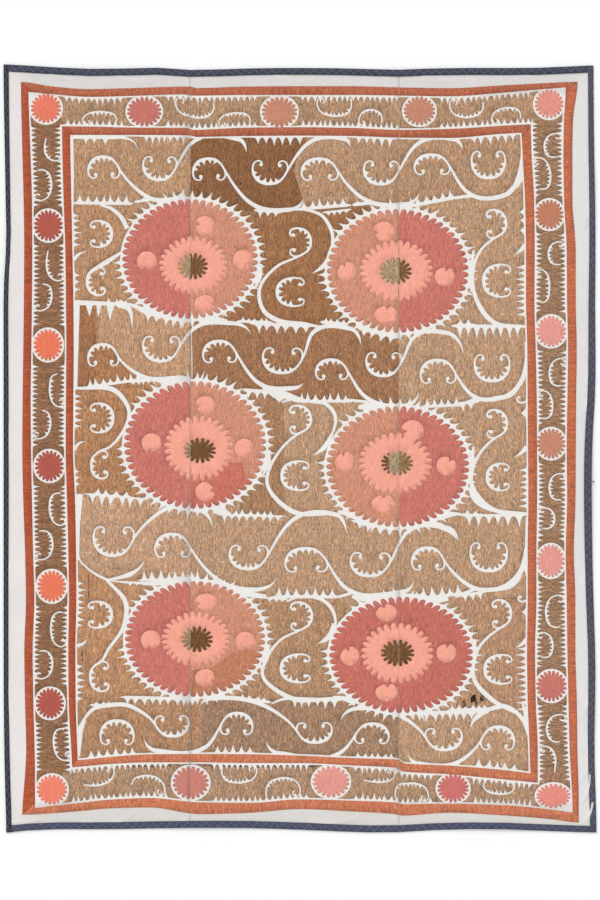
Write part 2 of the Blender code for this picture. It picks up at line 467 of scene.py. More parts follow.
# The lattice of the stitching and how far askew it may be, how close two points are that count as one, half
# the gap between two panels' stitching, and a place beyond the cloth
LATTICE_PITCH = 2.2
ASKEW = 0.2
JOINED_WITHIN = 0.0005
SEAM_GAP = 0.02
FAR_OUT = 200.0


def planned(outlines, marks):
    """A flat plan of triangles that keeps to the outlines and marks: its points in cm and its faces.

    The points between them are a lattice, a little askew so that no four make an exact square.
    """
    points, edges = [], []
    for outline in [*outlines, *marks]:
        start, count = len(points), len(outline)
        points.extend(outline)
        edges.extend((start + i, start + (i + 1) % count) for i in range(count))
    every = np.concatenate(outlines)
    low, high = every.min(0), every.max(0)
    for seam in (LEFT_SEAM, RIGHT_SEAM):
        for x in (seam - SEAM_REACH, seam, seam + SEAM_REACH):
            edges.append((len(points), len(points) + 1))
            points.extend(((x, low[1] - 1), (x, high[1] + 1)))
    for x in np.arange(low[0], high[0], LATTICE_PITCH):
        for y in np.arange(low[1], high[1], LATTICE_PITCH):
            points.append((x + 0.013 * y % ASKEW, y + 0.017 * x % ASKEW))
    corners = [Vector(point) for point in points]
    spots, _, faces = delaunay_2d_cdt(corners, edges, [], 0, JOINED_WITHIN, False)[:3]
    return np.array([spot[:] for spot in spots]), np.array([face[:] for face in faces])


def embroider(name, look, colour, filled, bare=(), lots=()):
    """Stitching over the filled outlines, left open where the bare ones lie on them.

    It stops at the seams, so each panel has its own. colour is a function that gives each place its
    thread's colour, and lots are the parts that were worked in another: its colour and their corners.
    """
    threads = [(thread, np.array(corners)) for thread, corners in lots]
    spots, faces = planned([*filled, *bare], [part for _, part in threads])
    centres = spots[faces].mean(1)
    kept = np.zeros(len(faces), bool)
    for outline in filled:
        kept |= inside(centres, outline)
    for outline in bare:
        kept &= ~inside(centres, outline)
    seams = [-FAR_OUT, LEFT_SEAM, RIGHT_SEAM, FAR_OUT]
    for k, panel in enumerate(PANELS):
        mine = kept & (centres[:, 0] > seams[k]) & (centres[:, 0] < seams[k + 1])
        if not mine.any():
            continue
        used, corners = np.unique(faces[mine], return_inverse=True)
        x, y = spots[used].T
        z = level(x, y)
        x = np.clip(x, seams[k] + SEAM_GAP, seams[k + 1] - SEAM_GAP)
        mesh = bpy.data.meshes.new(f"{name}_{panel}")
        mesh.from_pydata(np.column_stack((x * CM, y * CM, z)), [], corners.reshape(-1, 3))
        mesh.shade_smooth()
        colours = colour(centres[mine])
        for thread, part in threads:
            colours[inside(centres[mine], part)] = thread
        paint(mesh, colours)
        thicken(piece(mesh.name, mesh, look), STITCH_THICK)


def thread_look(name, along, roughness, sheen, contrast, lift):
    """Silk or wool laid side by side, up the cloth or across it, and sewn down in short stitches."""
    look, shader = material(name, roughness, sheen)
    painted = add(look, "Attribute", attribute_name="thread").outputs["Color"]

    def streaks(width, run, part, seed):
        """Lighter and darker stretches of thread, so many cm wide and long."""
        across, ahead = 1 / (width * CM), 1 / (run * CM)
        scale = (across, ahead, 0.0) if along == "up" else (ahead, across, 0.0)
        return noise(look, scale, 1 - part * contrast, 1 + part * contrast, seed=seed)

    threads = streaks(0.12, 2.6, 0.9, 1.0)
    strands = streaks(0.24, 1.8, 0.9, 2.0)
    flecks = streaks(0.24, 0.7, 0.9, 6.0)
    swathes = streaks(1.2, 12.0, 0.3, 3.0)
    warm = streaks(0.28, 1.5, 0.35, 4.0)
    cool = streaks(0.28, 1.3, 0.7, 5.0)
    hues = add(look, "CombineXYZ", [("X", warm), ("Z", cool)], Y=1.0).outputs[0]
    lifted = add(look, "VectorMath", [(0, painted)], operation="MULTIPLY")
    lifted.inputs[1].default_value = lift
    mixed = add(look, "VectorMath", [(0, lifted.outputs[0]), (1, hues)], operation="MULTIPLY").outputs[0]
    shade = times(look, threads, strands, flecks, swathes)
    tint(look, shader, mixed, shade, times(look, threads, strands), 0.0015)
    return look


def one_colour(colour):
    """The same colour for every place."""
    return lambda centres: np.tile(colour, (len(centres), 1))


def side_colours(centres, left, right, top, bottom):
    """Which of four colours each place of the border takes."""
    x, y = centres.T
    colours = np.tile(np.array(top, float), (len(x), 1))
    colours[y < 0] = bottom
    upright = np.abs(x) + MITRE > np.abs(y)
    colours[upright & (x < 0)] = left
    colours[upright & (x > 0)] = right
    return colours


def red_colours(centres):
    return side_colours(centres, RED_LEFT, RED_RIGHT, RED_TOP, RED_BOTTOM)


# The frames are mitred, so the wool laid up the ends leaves out a wedge on each flank of the cloth, and the
# wool laid across the sides leaves out one at each end. The wedges run from near x, on the slanting line of
# the mitre, to far x
WEDGE_NEAR = 20.0
WEDGE_FAR = 120.0
near, far = WEDGE_NEAR + MITRE, WEDGE_FAR + MITRE
flank = np.array(((WEDGE_NEAR, near), (WEDGE_FAR, far), (WEDGE_FAR, -far), (WEDGE_NEAR, -near)))
end = np.array(((-WEDGE_FAR, far), (WEDGE_FAR, far), (WEDGE_NEAR, near), (-WEDGE_NEAR, near)))
flanks = [flank * (sign, 1) for sign in (-1, 1)]
ends = [end * (1, sign) for sign in (-1, 1)]

WOOL_LIFT = (1.12, 1.02, 0.86)
up_wool = thread_look("wool_laid_up", "up", 0.85, 0.3, 0.28, WOOL_LIFT)
across_wool = thread_look("wool_laid_across", "across", 0.85, 0.3, 0.28, WOOL_LIFT)
for name, outer, inner in (("outer_line", 0, 1), ("inner_line", 2, 3)):
    filled, hole = [frame_outline(outer)], frame_outline(inner)
    embroider(name + "_ends", up_wool, red_colours, filled, [hole, *flanks])
    embroider(name + "_sides", across_wool, red_colours, filled, [hole, *ends])

# The border strip
# Dark silk between the two red lines, laid across the strip at the sides. Small beans, drawn as bare
# lines of cotton, lean on either line between the rosettes, and teeth run along both edges.

# How deep the gaps beside a rounded tooth or petal are. Columns: share of its width, share of the depth
TOOTH = (
    (0.0, 1.0),
    (0.1, 0.64),
    (0.2, 0.34),
    (0.33, 0.09),
    (0.5, 0.0),
    (0.67, 0.09),
    (0.8, 0.34),
    (0.9, 0.64),
)
PETAL = (
    (0.0, 1.0),
    (0.09, 0.6),
    (0.17, 0.3),
    (0.3, 0.08),
    (0.5, 0.0),
    (0.7, 0.08),
    (0.83, 0.3),
    (0.91, 0.6),
)

# Teeth and petals are worked by hand, so each is between these shares of its depth, and a tooth ends this
# share of the pitch too soon or too late at most
UNEVEN = (0.7, 1.2)
ASTRAY = 0.18

# The teeth of the strip's edges: their pitch at the sides and the ends, their depth, how far the line that
# they stand on is from the wool, and how wide that is
SIDE_TOOTH = 1.4
END_TOOTH = 1.7
TOOTH_DEEP = 1.8
COMB_CLEAR = 0.4
COMB_WIDE = 0.3
BROWN_LEFT = (148, 108, 77)
BROWN_RIGHT = (160, 124, 95)
BROWN_TOP = (175, 141, 112)
BROWN_BOTTOM = (174, 141, 114)

ORANGE = (230, 117, 86)
SALMON_ORANGE = (235, 127, 104)
PINK = (225, 150, 140)
TERRACOTTA = (193, 131, 107)
ROSE = (194, 112, 101)
DEEP_RED = (174, 84, 70)

# Rosettes of the border. Columns: x, y, half width, half height, and the thread's colour
ROSETTES = (
    (-76.2, 102.1, 4.3, 4.2, (228, 120, 95)),
    (-46.7, 101.1, 4.9, 4.2, ROSE),
    (-6.2, 101.0, 5.1, 4.3, TERRACOTTA),
    (35.8, 101.3, 4.5, 4.1, TERRACOTTA),
    (74.7, 103.4, 4.1, 4.1, (221, 142, 128)),
    (-75.5, 66.9, 4.1, 4.4, DEEP_RED),
    (-75.6, 31.1, 4.1, 4.5, ORANGE),
    (-75.2, -5.2, 4.1, 4.4, DEEP_RED),
    (-74.5, -41.3, 4.1, 4.5, ORANGE),
    (-75.0, -76.4, 4.0, 4.3, DEEP_RED),
    (-74.4, -102.3, 4.3, 4.2, SALMON_ORANGE),
    (74.8, 70.2, 4.0, 4.2, (187, 120, 92)),
    (75.3, 35.2, 4.2, 4.4, PINK),
    (75.3, 1.5, 4.1, 4.3, TERRACOTTA),
    (75.2, -33.7, 3.9, 4.7, PINK),
    (75.4, -71.2, 4.3, 4.4, ROSE),
    (76.0, -104.2, 4.9, 3.4, (227, 137, 127)),
    (-32.8, -100.2, 5.2, 4.7, (198, 124, 110)),
    (9.3, -99.9, 5.3, 4.5, (223, 148, 137)),
    (45.9, -101.9, 4.5, 4.0, (202, 109, 104)),
)

# Beans. Columns: side, edge of the red lines that it leans on, tail end, curled end, depth, and how far
# out the tail stops, as a share of the depth
BEANS = (
    ("left", 2, 93.2, 86.4, 5.0, 0.9),
    ("left", 1, 83.7, 74.4, 5.6, 0.3),
    ("left", 2, 59.6, 50.4, 5.4, 0.9),
    ("left", 1, 49.6, 41.4, 5.6, 0.5),
    ("left", 2, 22.7, 12.6, 4.6, 0.5),
    ("left", 1, 11.7, 3.0, 5.6, 0.55),
    ("left", 2, -13.3, -23.0, 5.0, 0.3),
    ("left", 1, -24.6, -33.3, 5.6, 0.3),
    ("left", 2, -49.0, -59.4, 5.0, 0.3),
    ("left", 1, -60.6, -69.0, 5.6, 0.3),
    ("left", 2, -84.0, -93.5, 4.9, 0.3),
    ("right", 1, 87.4, 94.5, 5.4, 0.3),
    ("right", 2, 77.8, 87.3, 5.0, 0.3),
    ("right", 1, 55.2, 62.0, 5.2, 0.3),
    ("right", 2, 43.8, 53.7, 4.2, 0.3),
    ("right", 1, 18.8, 27.0, 5.2, 0.3),
    ("right", 2, 9.0, 17.4, 4.4, 0.3),
    ("right", 1, -15.4, -7.5, 5.0, 0.3),
    ("right", 2, -24.0, -17.8, 5.0, 0.3),
    ("right", 1, -53.6, -44.0, 6.0, 0.3),
    ("right", 2, -62.7, -55.2, 5.0, 0.3),
    ("right", 1, -88.0, -79.8, 6.4, 0.4),
    ("right", 2, -97.3, -89.3, 5.0, 0.95),
    ("top", 2, -55.0, -65.2, 4.2, 0.3),
    ("top", 1, -25.8, -37.3, 6.4, 0.3),
    ("top", 2, -15.0, -24.4, 4.2, 0.3),
    ("top", 1, 15.4, 5.1, 6.0, 0.1),
    ("top", 2, 24.6, 17.7, 5.4, 0.3),
    ("top", 1, 55.0, 44.9, 6.2, 0.3),
    ("top", 2, 66.2, 57.5, 5.0, 0.3),
    ("bottom", 2, -65.2, -55.8, 5.8, 0.9),
    ("bottom", 1, -50.8, -40.6, 6.4, 0.6),
    ("bottom", 2, -23.5, -13.0, 5.6, 0.1),
    ("bottom", 1, -10.2, 0.0, 6.4, 0.15),
    ("bottom", 2, 19.0, 28.4, 4.4, 0.9),
    ("bottom", 1, 28.6, 38.5, 6.0, 0.1),
    ("bottom", 2, 55.0, 64.3, 4.2, 0.3),
)

# The bow of a bean, from its tail to its curled end. Columns: share of its length, share of its depth.
# The line starts at the tail's stop, so the places before its flank that aren't clear of that are left out
BEAN_BOW = (
    (0.0, 0.5),
    (0.1, 0.86),
    (0.35, 1.0),
    (0.65, 0.98),
    (0.88, 0.8),
    (1.0, 0.45),
    (0.97, 0.15),
    (0.86, 0.1),
    (0.78, 0.25),
    (0.83, 0.38),
)
BEAN_FLANK = 3
STOP_ALONG = 0.02
STOP_CLEAR = 0.06
BEAN_CLEAR = 0.3
BEAN_WIDTHS = ((0, 0.4), (0.1, 0.5), (0.6, 0.5), (0.85, 0.4), (1, 0.5))
BEAN_TEETH = (0.12, 0.62, 1.35, 1.1)

# How close points are along a curve and along the edges of a line, and how many are in a ring
CURVE_PITCH = 0.4
EDGE_PITCH = 0.8
ROUND_STEPS = 40

chance = np.random.default_rng(11)


def lengths(line):
    """How far along a line each of its points is."""
    return np.concatenate(([0.0], np.cumsum(np.hypot(*np.diff(line, axis=0).T))))


def through(points):
    """A smooth line through a few points, as many close ones."""
    points = np.array(points, float)
    reach = lengths(points)
    slopes = np.gradient(points, reach, axis=0)
    return eased(reach, points, slopes, np.linspace(0.0, reach[-1], int(reach[-1] / CURVE_PITCH) + 2))


def beside(line, places, out):
    """Points beside a line: at each of the places along it, out to its left."""
    reach = lengths(line)
    heading = np.gradient(line, reach, axis=0)
    x, y, u, v = (np.interp(places, reach, values) for values in (*line.T, *heading.T))
    size = np.hypot(u, v)
    return np.column_stack((x - v / size * out, y + u / size * out))


def teeth(start, end, pitch, deep):
    """Places along a line, and how deep the points between rounded lobes reach there."""
    count = max(2, round((end - start) / pitch))
    ends = np.linspace(start, end, count + 1)
    ends[1:-1] += chance.uniform(-ASTRAY, ASTRAY, count - 1) * pitch
    tall = deep * chance.uniform(*UNEVEN, count + 1)
    tall[[0, -1]] = 0.0
    places, depths = [], []
    for k in range(count):
        for share, part in TOOTH:
            places.append(ends[k] + share * (ends[k + 1] - ends[k]))
            depths.append(part * tall[k if share < 0.5 else k + 1])
    return np.array(places), np.array(depths)


def stroke(line, widths, left=None, right=None):
    """The outline of a line drawn as wide as widths say, at shares of its length.

    left and right may each give a row of teeth on that side: where it starts and ends as shares of the
    length, its pitch and its depth.
    """
    length = lengths(line)[-1]
    shares, wide = np.array(widths, float).T
    sides = []
    for row, sign in ((left, 1), (right, -1)):
        places = np.linspace(0.0, length, max(4, int(length / EDGE_PITCH) + 2))
        deep = np.zeros(len(places))
        if row:
            start, end, pitch, depth = row
            toothed, depths = teeth(start * length, end * length, pitch, depth)
            plain = (places < start * length) | (places > end * length)
            places = np.concatenate((places[plain], toothed))
            deep = np.concatenate((deep[plain], depths))
        order = np.argsort(places)
        places, deep = places[order], deep[order]
        out = np.interp(places / length, shares, wide) / 2 + deep
        sides.append(beside(line, places, sign * out))
    return np.concatenate((sides[0], sides[1][::-1]))


def disc(x, y, rx, ry=None, count=14):
    """A round outline of so many points."""
    turn = np.arange(count) * 2 * np.pi / count
    return np.column_stack((x + rx * np.cos(turn), y + (ry or rx) * np.sin(turn)))


def off_the_wool(edge):
    """Which way the silk lies from an edge of the red lines: 1 is out from the middle and -1 is in."""
    return 1.0 if edge == 2 else -1.0


def hand_towards(heading, way):
    """The hand that a way is on, seen along a heading."""
    return "left" if heading[0] * way[1] - heading[1] * way[0] > 0 else "right"


def bean(side, edge, tail, head, deep, stop):
    """The bare line of one bean, with teeth on its inner side."""
    away = off_the_wool(edge)
    bow = [spot for k, spot in enumerate(BEAN_BOW) if k >= BEAN_FLANK or spot[1] > stop + STOP_CLEAR]
    along, out = np.array([(STOP_ALONG, stop), *bow]).T
    place = tail + (head - tail) * along
    line = through(on_side(side, place, edge_at(side, edge, place) + away * (BEAN_CLEAR + out * deep)))
    middle = len(line) // 3
    hand = hand_towards(line[middle + 1] - line[middle - 1], on_side(side, 0.0, -away))
    return stroke(line, BEAN_WIDTHS, **{hand: BEAN_TEETH})


def comb_on(side, edge, start, end, pitch, deep):
    """A row of teeth that stands on one edge of the red lines, on the side away from the wool."""
    places = np.linspace(start, end, max(3, int(abs(end - start) / 2)))
    away = off_the_wool(edge)
    line = on_side(side, places, edge_at(side, edge, places) + away * COMB_CLEAR)
    hand = hand_towards(line[1] - line[0], on_side(side, 0.0, away))
    return stroke(line, ((0, COMB_WIDE), (1, COMB_WIDE)), **{hand: (0.0, 1.0, pitch, deep)})


def petalled(x, y, rx, ry, count, deep, outward=False, lean=1.0, smooth=(0, 0)):
    """A round outline of rounded petals, or of pointed gaps between them if outward.

    They point straight out, or lean over towards the sides if lean is more than 1. Between the two angles
    of smooth, in degrees, there are none.
    """
    outline = []
    deeps = deep * chance.uniform(*UNEVEN, count)
    turns = 360 * np.arange(count) / count
    deeps[(turns > smooth[0]) & (turns < smooth[1])] = 0
    for k in range(count):
        for share, part in PETAL:
            angle = 2 * np.pi * (k + share) / count
            cut = part * deeps[k if share < 0.5 else (k + 1) % count]
            way = np.array((lean * np.cos(angle), np.sin(angle)))
            tip = (cut if outward else -cut) * way / np.hypot(*way)
            outline.append((x + rx * np.cos(angle) + tip[0], y + ry * np.sin(angle) + tip[1]))
    return np.array(outline)


def oblong(x0, y0, x1, y1):
    """The corners of an oblong, from one corner to the one opposite."""
    return np.array(((x0, y0), (x1, y0), (x1, y1), (x0, y1)))


# The strip's rosettes lie beyond this, and those beyond it both ways are in the corners
STRIP_OUT = 70
STRIP_UP = 95

# How wide the bare ring of a rosette is, how far the bare corner reaches beyond one, and how far from its
# edge the teeth stop
ROSETTE_RING = 0.8
ROSETTE_CORNER = 3.0
RING_CLEAR = 0.4


def border_bares():
    """The bare shapes of the strip: its beans, the rings and bare corners, and the teeth of its edges."""
    bares = [bean(*row) for row in BEANS]
    for x, y, rx, ry, _ in ROSETTES:
        bares.append(disc(x, y, rx + ROSETTE_RING, ry + ROSETTE_RING, ROUND_STEPS))
        if abs(x) > STRIP_OUT and abs(y) > STRIP_UP:
            out_x, out_y = np.sign(x) * (rx + ROSETTE_CORNER), np.sign(y) * (ry + ROSETTE_CORNER)
            bares.append(oblong(x, y, x + out_x, y + out_y))
    for side in SIDES:
        upright = side in ("left", "right")
        pitch, beyond = (SIDE_TOOTH, STRIP_OUT) if upright else (END_TOOTH, STRIP_UP)
        at, across = (1, 0) if upright else (0, 1)
        outward = on_side(side, 0.0, 1.0)[across]
        there = sorted((row[at], row[2 + at]) for row in ROSETTES if outward * row[across] > beyond)
        for (a, a_half), (b, b_half) in zip(there, there[1:]):
            start, end = a + a_half + RING_CLEAR, b - b_half - RING_CLEAR
            bares.append(comb_on(side, 1, start, end, pitch, TOOTH_DEEP))
            bares.append(comb_on(side, 2, start, end, pitch, TOOTH_DEEP))
    return bares


def border_colours(centres):
    return side_colours(centres, BROWN_LEFT, BROWN_RIGHT, BROWN_TOP, BROWN_BOTTOM)


SILK_LIFT = (1.17, 1.11, 1.04)
across_silk = thread_look("silk_laid_across", "across", 0.6, 0.2, 0.42, SILK_LIFT)
up_silk = thread_look("silk_laid_up", "up", 0.6, 0.2, 0.38, SILK_LIFT)
rose_silk = thread_look("rose_silk_laid_up", "up", 0.6, 0.2, 0.2, (1.06, 1.02, 0.98))
bright_silk = thread_look("bright_silk_laid_up", "up", 0.6, 0.2, 0.09, (1.02, 1.02, 1.0))
border_hole = frame_outline(2, -LINE_BARE)
border_edge = frame_outline(1, LINE_BARE)
border_bare = [border_hole, *border_bares()]

# The strip's silk is laid across it on the flanks of the cloth, between the top and the bottom end, and the
# ends' silk is laid up the cloth. Where those parts meet, then three measures that reach beyond the cloth
FLANKS_LOW = -95.6
FLANKS_TOP = 96.5
LEFT_FLANK = -69.9
RIGHT_FLANK = 70.2
ENDS_HALF = 99.0
PAST_END = 1.3
PAST_FLANK = 1.4
strip_ends = [oblong(-ENDS_HALF, y, ENDS_HALF, y * PAST_END) for y in (FLANKS_TOP, FLANKS_LOW)]
strip_flanks = [oblong(x, FLANKS_LOW, x * PAST_FLANK, FLANKS_TOP) for x in (LEFT_FLANK, RIGHT_FLANK)]
for name, look, left_out in (("end_border", up_silk, strip_flanks), ("side_border", across_silk, strip_ends)):
    embroider(name, look, border_colours, [border_edge], [*border_bare, *left_out])

ROSETTE_PETALS = 20
ROSETTE_CUT = 1.5
ROSETTE_FULL = 0.3
rosettes = [
    petalled(x, y, rx + ROSETTE_FULL, ry + ROSETTE_FULL, ROSETTE_PETALS, ROSETTE_CUT)
    for x, y, rx, ry, _ in ROSETTES
]


def nearest(rows, places):
    """Which row of a table of round shapes each place is nearest to."""
    middles = np.array([row[:2] for row in rows])
    return ((places[:, None] - middles[None]) ** 2).sum(2).argmin(1)


def rosette_colours(centres):
    return np.array([ROSETTES[k][4] for k in nearest(ROSETTES, centres)], float)


embroider("border_rosettes", bright_silk, rosette_colours, rosettes)

# The field
# Silk in many browns laid up the cloth, worked by several hands, one lot of dye beside another. The ground
# is left bare in thin lines: vines whose ends curl like horns, rows of teeth, and a ring round each roundel.

UP, DOWN, RIGHT, LEFT = (0, 1), (0, -1), (1, 0), (-1, 0)

# A horn from its dot nearly to the crown, what follows the crown of a horn that has a stem, and the hook
# that curls away beside the stem. Columns: share of its width, share of its depth
CURL = (
    (-0.26, -0.82),
    (-0.25, -0.93),
    (-0.33, -1.0),
    (-0.44, -0.94),
    (-0.5, -0.72),
    (-0.48, -0.42),
    (-0.38, -0.18),
    (-0.2, -0.03),
)
SHOULDER = ((0.18, -0.06), (0.32, -0.25), (0.46, -0.6))
HOOK = ((0.43, -0.5), (0.46, -0.75), (0.38, -0.96), (0.27, -0.98), (0.2, -0.86), (0.23, -0.77))
CURL_DOT = (-0.27, -0.83)
OTHER_DOT = (0.27, -0.83)
HOOK_DOT = (0.24, -0.79)
DOT = 0.58

# Widths of the lines, at shares of their length
HORN_WIDE = 0.9
HORN_WIDTHS = ((0, 0.6), (0.1, 0.5), (0.5, HORN_WIDE), (0.9, 0.5), (1, 0.6))
HOOK_WIDTHS = ((0, 0.7), (0.6, 0.5), (1, 0.6))
STEM_WIDTHS = ((0.0, 0.65), (0.15, 0.65), (0.3, 0.7), (0.55, 1.0), (0.78, 1.5), (1.0, 0.8))

# Where the teeth inside a horn start, and where they end without a stem and with one, as shares of the
# whole bow, with their pitch and depth
TEETH_FROM = 0.17
TEETH_TO = 0.83
TEETH_TO_STEM = 0.66
HORN_TEETH = (2.05, 1.45)

# The ways that a tendril's stem leaves its horn and comes to its landing: out to its side, and back
STEM_LEAVES = (0.5, 0.87)
STEM_LANDS = (0.93, 0.37)

# How strongly it keeps to them: a share of its fall, and a little more. Then how full its sickle bends
STEM_ARM = 0.36
STEM_MORE = 0.5
SICKLE_BEND = 0.2

# Tendrils: a horn whose stem leaves on one side (1 towards +X, -1 towards -X), comes to a line, runs along
# it and ends in a sickle. Columns: facing, side, x and y of the crown, width, height, then x and y of
# where the stem lands, of where its run ends and of its tip
TENDRILS = (
    (UP, 1, -58.6, 87.6, 9.8, 6.5, -44.4, 74.9, -39.0, 74.7, -34.5, 78.6),
    (DOWN, 1, -41.8, 80.6, 10.5, 7.0, -30.3, 93.1, -19.2, 93.0, -16.0, 88.8),
    (UP, 1, -27.0, 87.0, 10.2, 6.5, -12.9, 72.6, -4.2, 71.6, 1.2, 75.2),
    (DOWN, 1, -8.7, 79.4, 11.0, 7.0, 4.2, 92.6, 12.9, 93.0, 15.0, 90.5),
    (UP, 1, 6.2, 87.0, 11.4, 6.5, 20.4, 74.3, 30.6, 73.2, 35.8, 77.0),
    (DOWN, 1, 24.7, 79.3, 11.0, 7.0, 36.9, 92.4, 45.6, 92.9, 48.8, 89.4),
    (UP, 1, 39.9, 88.2, 11.0, 6.0, 51.9, 75.9, 60.6, 75.8, 66.1, 86.6),
    (UP, 1, -58.8, 31.3, 9.5, 6.5, -46.8, 21.5, -36.0, 21.3, -33.0, 21.5),
    (DOWN, 1, -41.3, 26.2, 11.5, 7.5, -30.0, 37.1, -21.6, 37.7, -14.7, 34.4),
    (UP, 1, -23.8, 32.3, 10.5, 6.5, -10.8, 18.8, -3.0, 18.1, 0.9, 19.8),
    (DOWN, 1, -4.9, 22.7, 12.4, 7.5, 5.4, 35.9, 14.1, 36.2, 18.4, 30.8),
    (UP, 1, 9.8, 26.7, 10.0, 6.0, 21.6, 14.3, 30.6, 12.8, 35.7, 17.1),
    (DOWN, 1, 25.4, 21.8, 11.0, 7.0, 36.0, 34.7, 42.3, 35.0, 49.1, 28.2),
    (UP, 1, 41.7, 26.6, 11.0, 7.0, 53.1, 15.2, 60.0, 15.2, 67.8, 26.0),
    (DOWN, 1, -55.6, -32.1, 12.6, 8.7, -39.6, -17.8, -31.2, -18.4, -26.2, -23.8),
    (UP, 1, -37.9, -25.6, 11.0, 7.0, -22.3, -40.6, -14.4, -42.3, -7.0, -38.7),
    (DOWN, 1, -15.1, -36.1, 12.0, 7.1, 0.0, -20.1, 9.9, -19.6, 14.0, -25.6),
    (UP, 1, 2.2, -29.9, 13.2, 7.1, 15.6, -42.9, 30.0, -43.0, 34.0, -39.8),
    (DOWN, 1, 21.4, -38.2, 12.4, 7.0, 34.2, -23.7, 42.9, -23.5, 47.6, -28.0),
    (UP, 1, 38.7, -29.7, 10.2, 6.7, 52.2, -41.8, 60.0, -42.0, 67.2, -35.2),
    (DOWN, -1, -38.7, -86.3, 10.6, 6.2, -51.0, -77.2, -57.8, -77.0, -66.2, -85.6),
    (UP, -1, -19.3, -79.3, 10.0, 6.5, -29.4, -90.1, -42.0, -90.7, -46.8, -87.0),
    (DOWN, -1, 4.0, -88.2, 11.0, 6.0, -11.4, -76.8, -25.8, -74.9, -30.0, -77.2),
    (UP, -1, 21.3, -82.5, 10.6, 6.0, 10.8, -91.9, -5.1, -91.5, -10.3, -87.6),
    (DOWN, -1, 42.8, -90.4, 11.4, 6.5, 29.4, -79.9, 18.6, -77.8, 12.0, -81.7),
    (UP, -1, 59.0, -83.4, 10.4, 7.0, 46.8, -94.3, 36.0, -94.5, 32.5, -91.6),
)

# Horns with both ends curled. Columns: facing, x and y of the crown, width, height
HORNS = (
    (DOWN, 56.5, 81.2, 10.0, 8.0),
    (DOWN, 57.6, 20.3, 10.4, 7.9),
    (DOWN, 56.6, -36.7, 10.9, 8.5),
    (UP, -54.9, -81.6, 9.9, 7.2),
    (RIGHT, -56.5, 64.4, 7.8, 6.4),
    (RIGHT, -56.1, 9.2, 8.7, 6.8),
    (RIGHT, -56.5, -49.8, 7.8, 7.0),
    (LEFT, -6.9, 47.0, 8.4, 8.2),
    (LEFT, -5.5, -8.1, 8.6, 8.2),
    (LEFT, -5.7, -65.9, 8.4, 8.7),
    (LEFT, 55.0, 50.4, 9.6, 8.2),
    (LEFT, 56.1, -8.5, 8.0, 6.6),
    (LEFT, 55.4, -66.2, 8.6, 8.2),
)

# Horns on a long stem between the rows. Columns: facing, side of the stem (1 towards +Y), x and y of the
# crown, width, depth, then the places that the stem goes through
HANGING = (
    (LEFT, 1, -63.9, 50.4, 8.7, 5.4, ((-58.8, 55.5), (-53.7, 58.8))),
    (LEFT, 1, -62.7, -4.6, 8.7, 5.0, ((-58.2, -0.1), (-54.0, 3.8), (-51.3, 11.3), (-54.9, 17.0),
                                      (-67.0, 18.2))),
    (LEFT, 1, -63.0, -68.1, 9.3, 5.6, ((-57.6, -60.4), (-52.9, -53.2), (-52.2, -46.6), (-58.2, -39.1))),
    (RIGHT, -1, 3.3, 61.7, 8.8, 6.4, ((-7.0, 54.6), (-12.3, 47.0), (-10.6, 41.0), (-7.0, 38.6),
                                      (1.5, 37.4), (6.0, 36.5))),
    (RIGHT, -1, 3.3, 8.5, 8.8, 6.4, ((-5.9, -0.4), (-9.9, -10.3), (-2.5, -18.7), (10.5, -19.6))),
    (RIGHT, -1, 3.6, -50.5, 8.8, 6.4, ((-5.5, -57.1), (-11.2, -68.1), (-3.2, -74.6), (12.3, -74.8))),
    (RIGHT, -1, 61.9, 67.2, 8.8, 6.0, ((54.5, 59.9), (51.9, 48.2), (58.3, 37.8), (67.5, 36.6))),
    (RIGHT, -1, 62.1, 7.2, 8.8, 6.0, ((54.9, -0.1), (51.4, -10.0), (56.7, -17.6), (68.3, -19.6))),
    (RIGHT, -1, 63.3, -49.8, 8.8, 5.6, ((53.7, -59.7), (52.2, -69.1), (57.0, -74.8), (66.0, -79.9))),
)

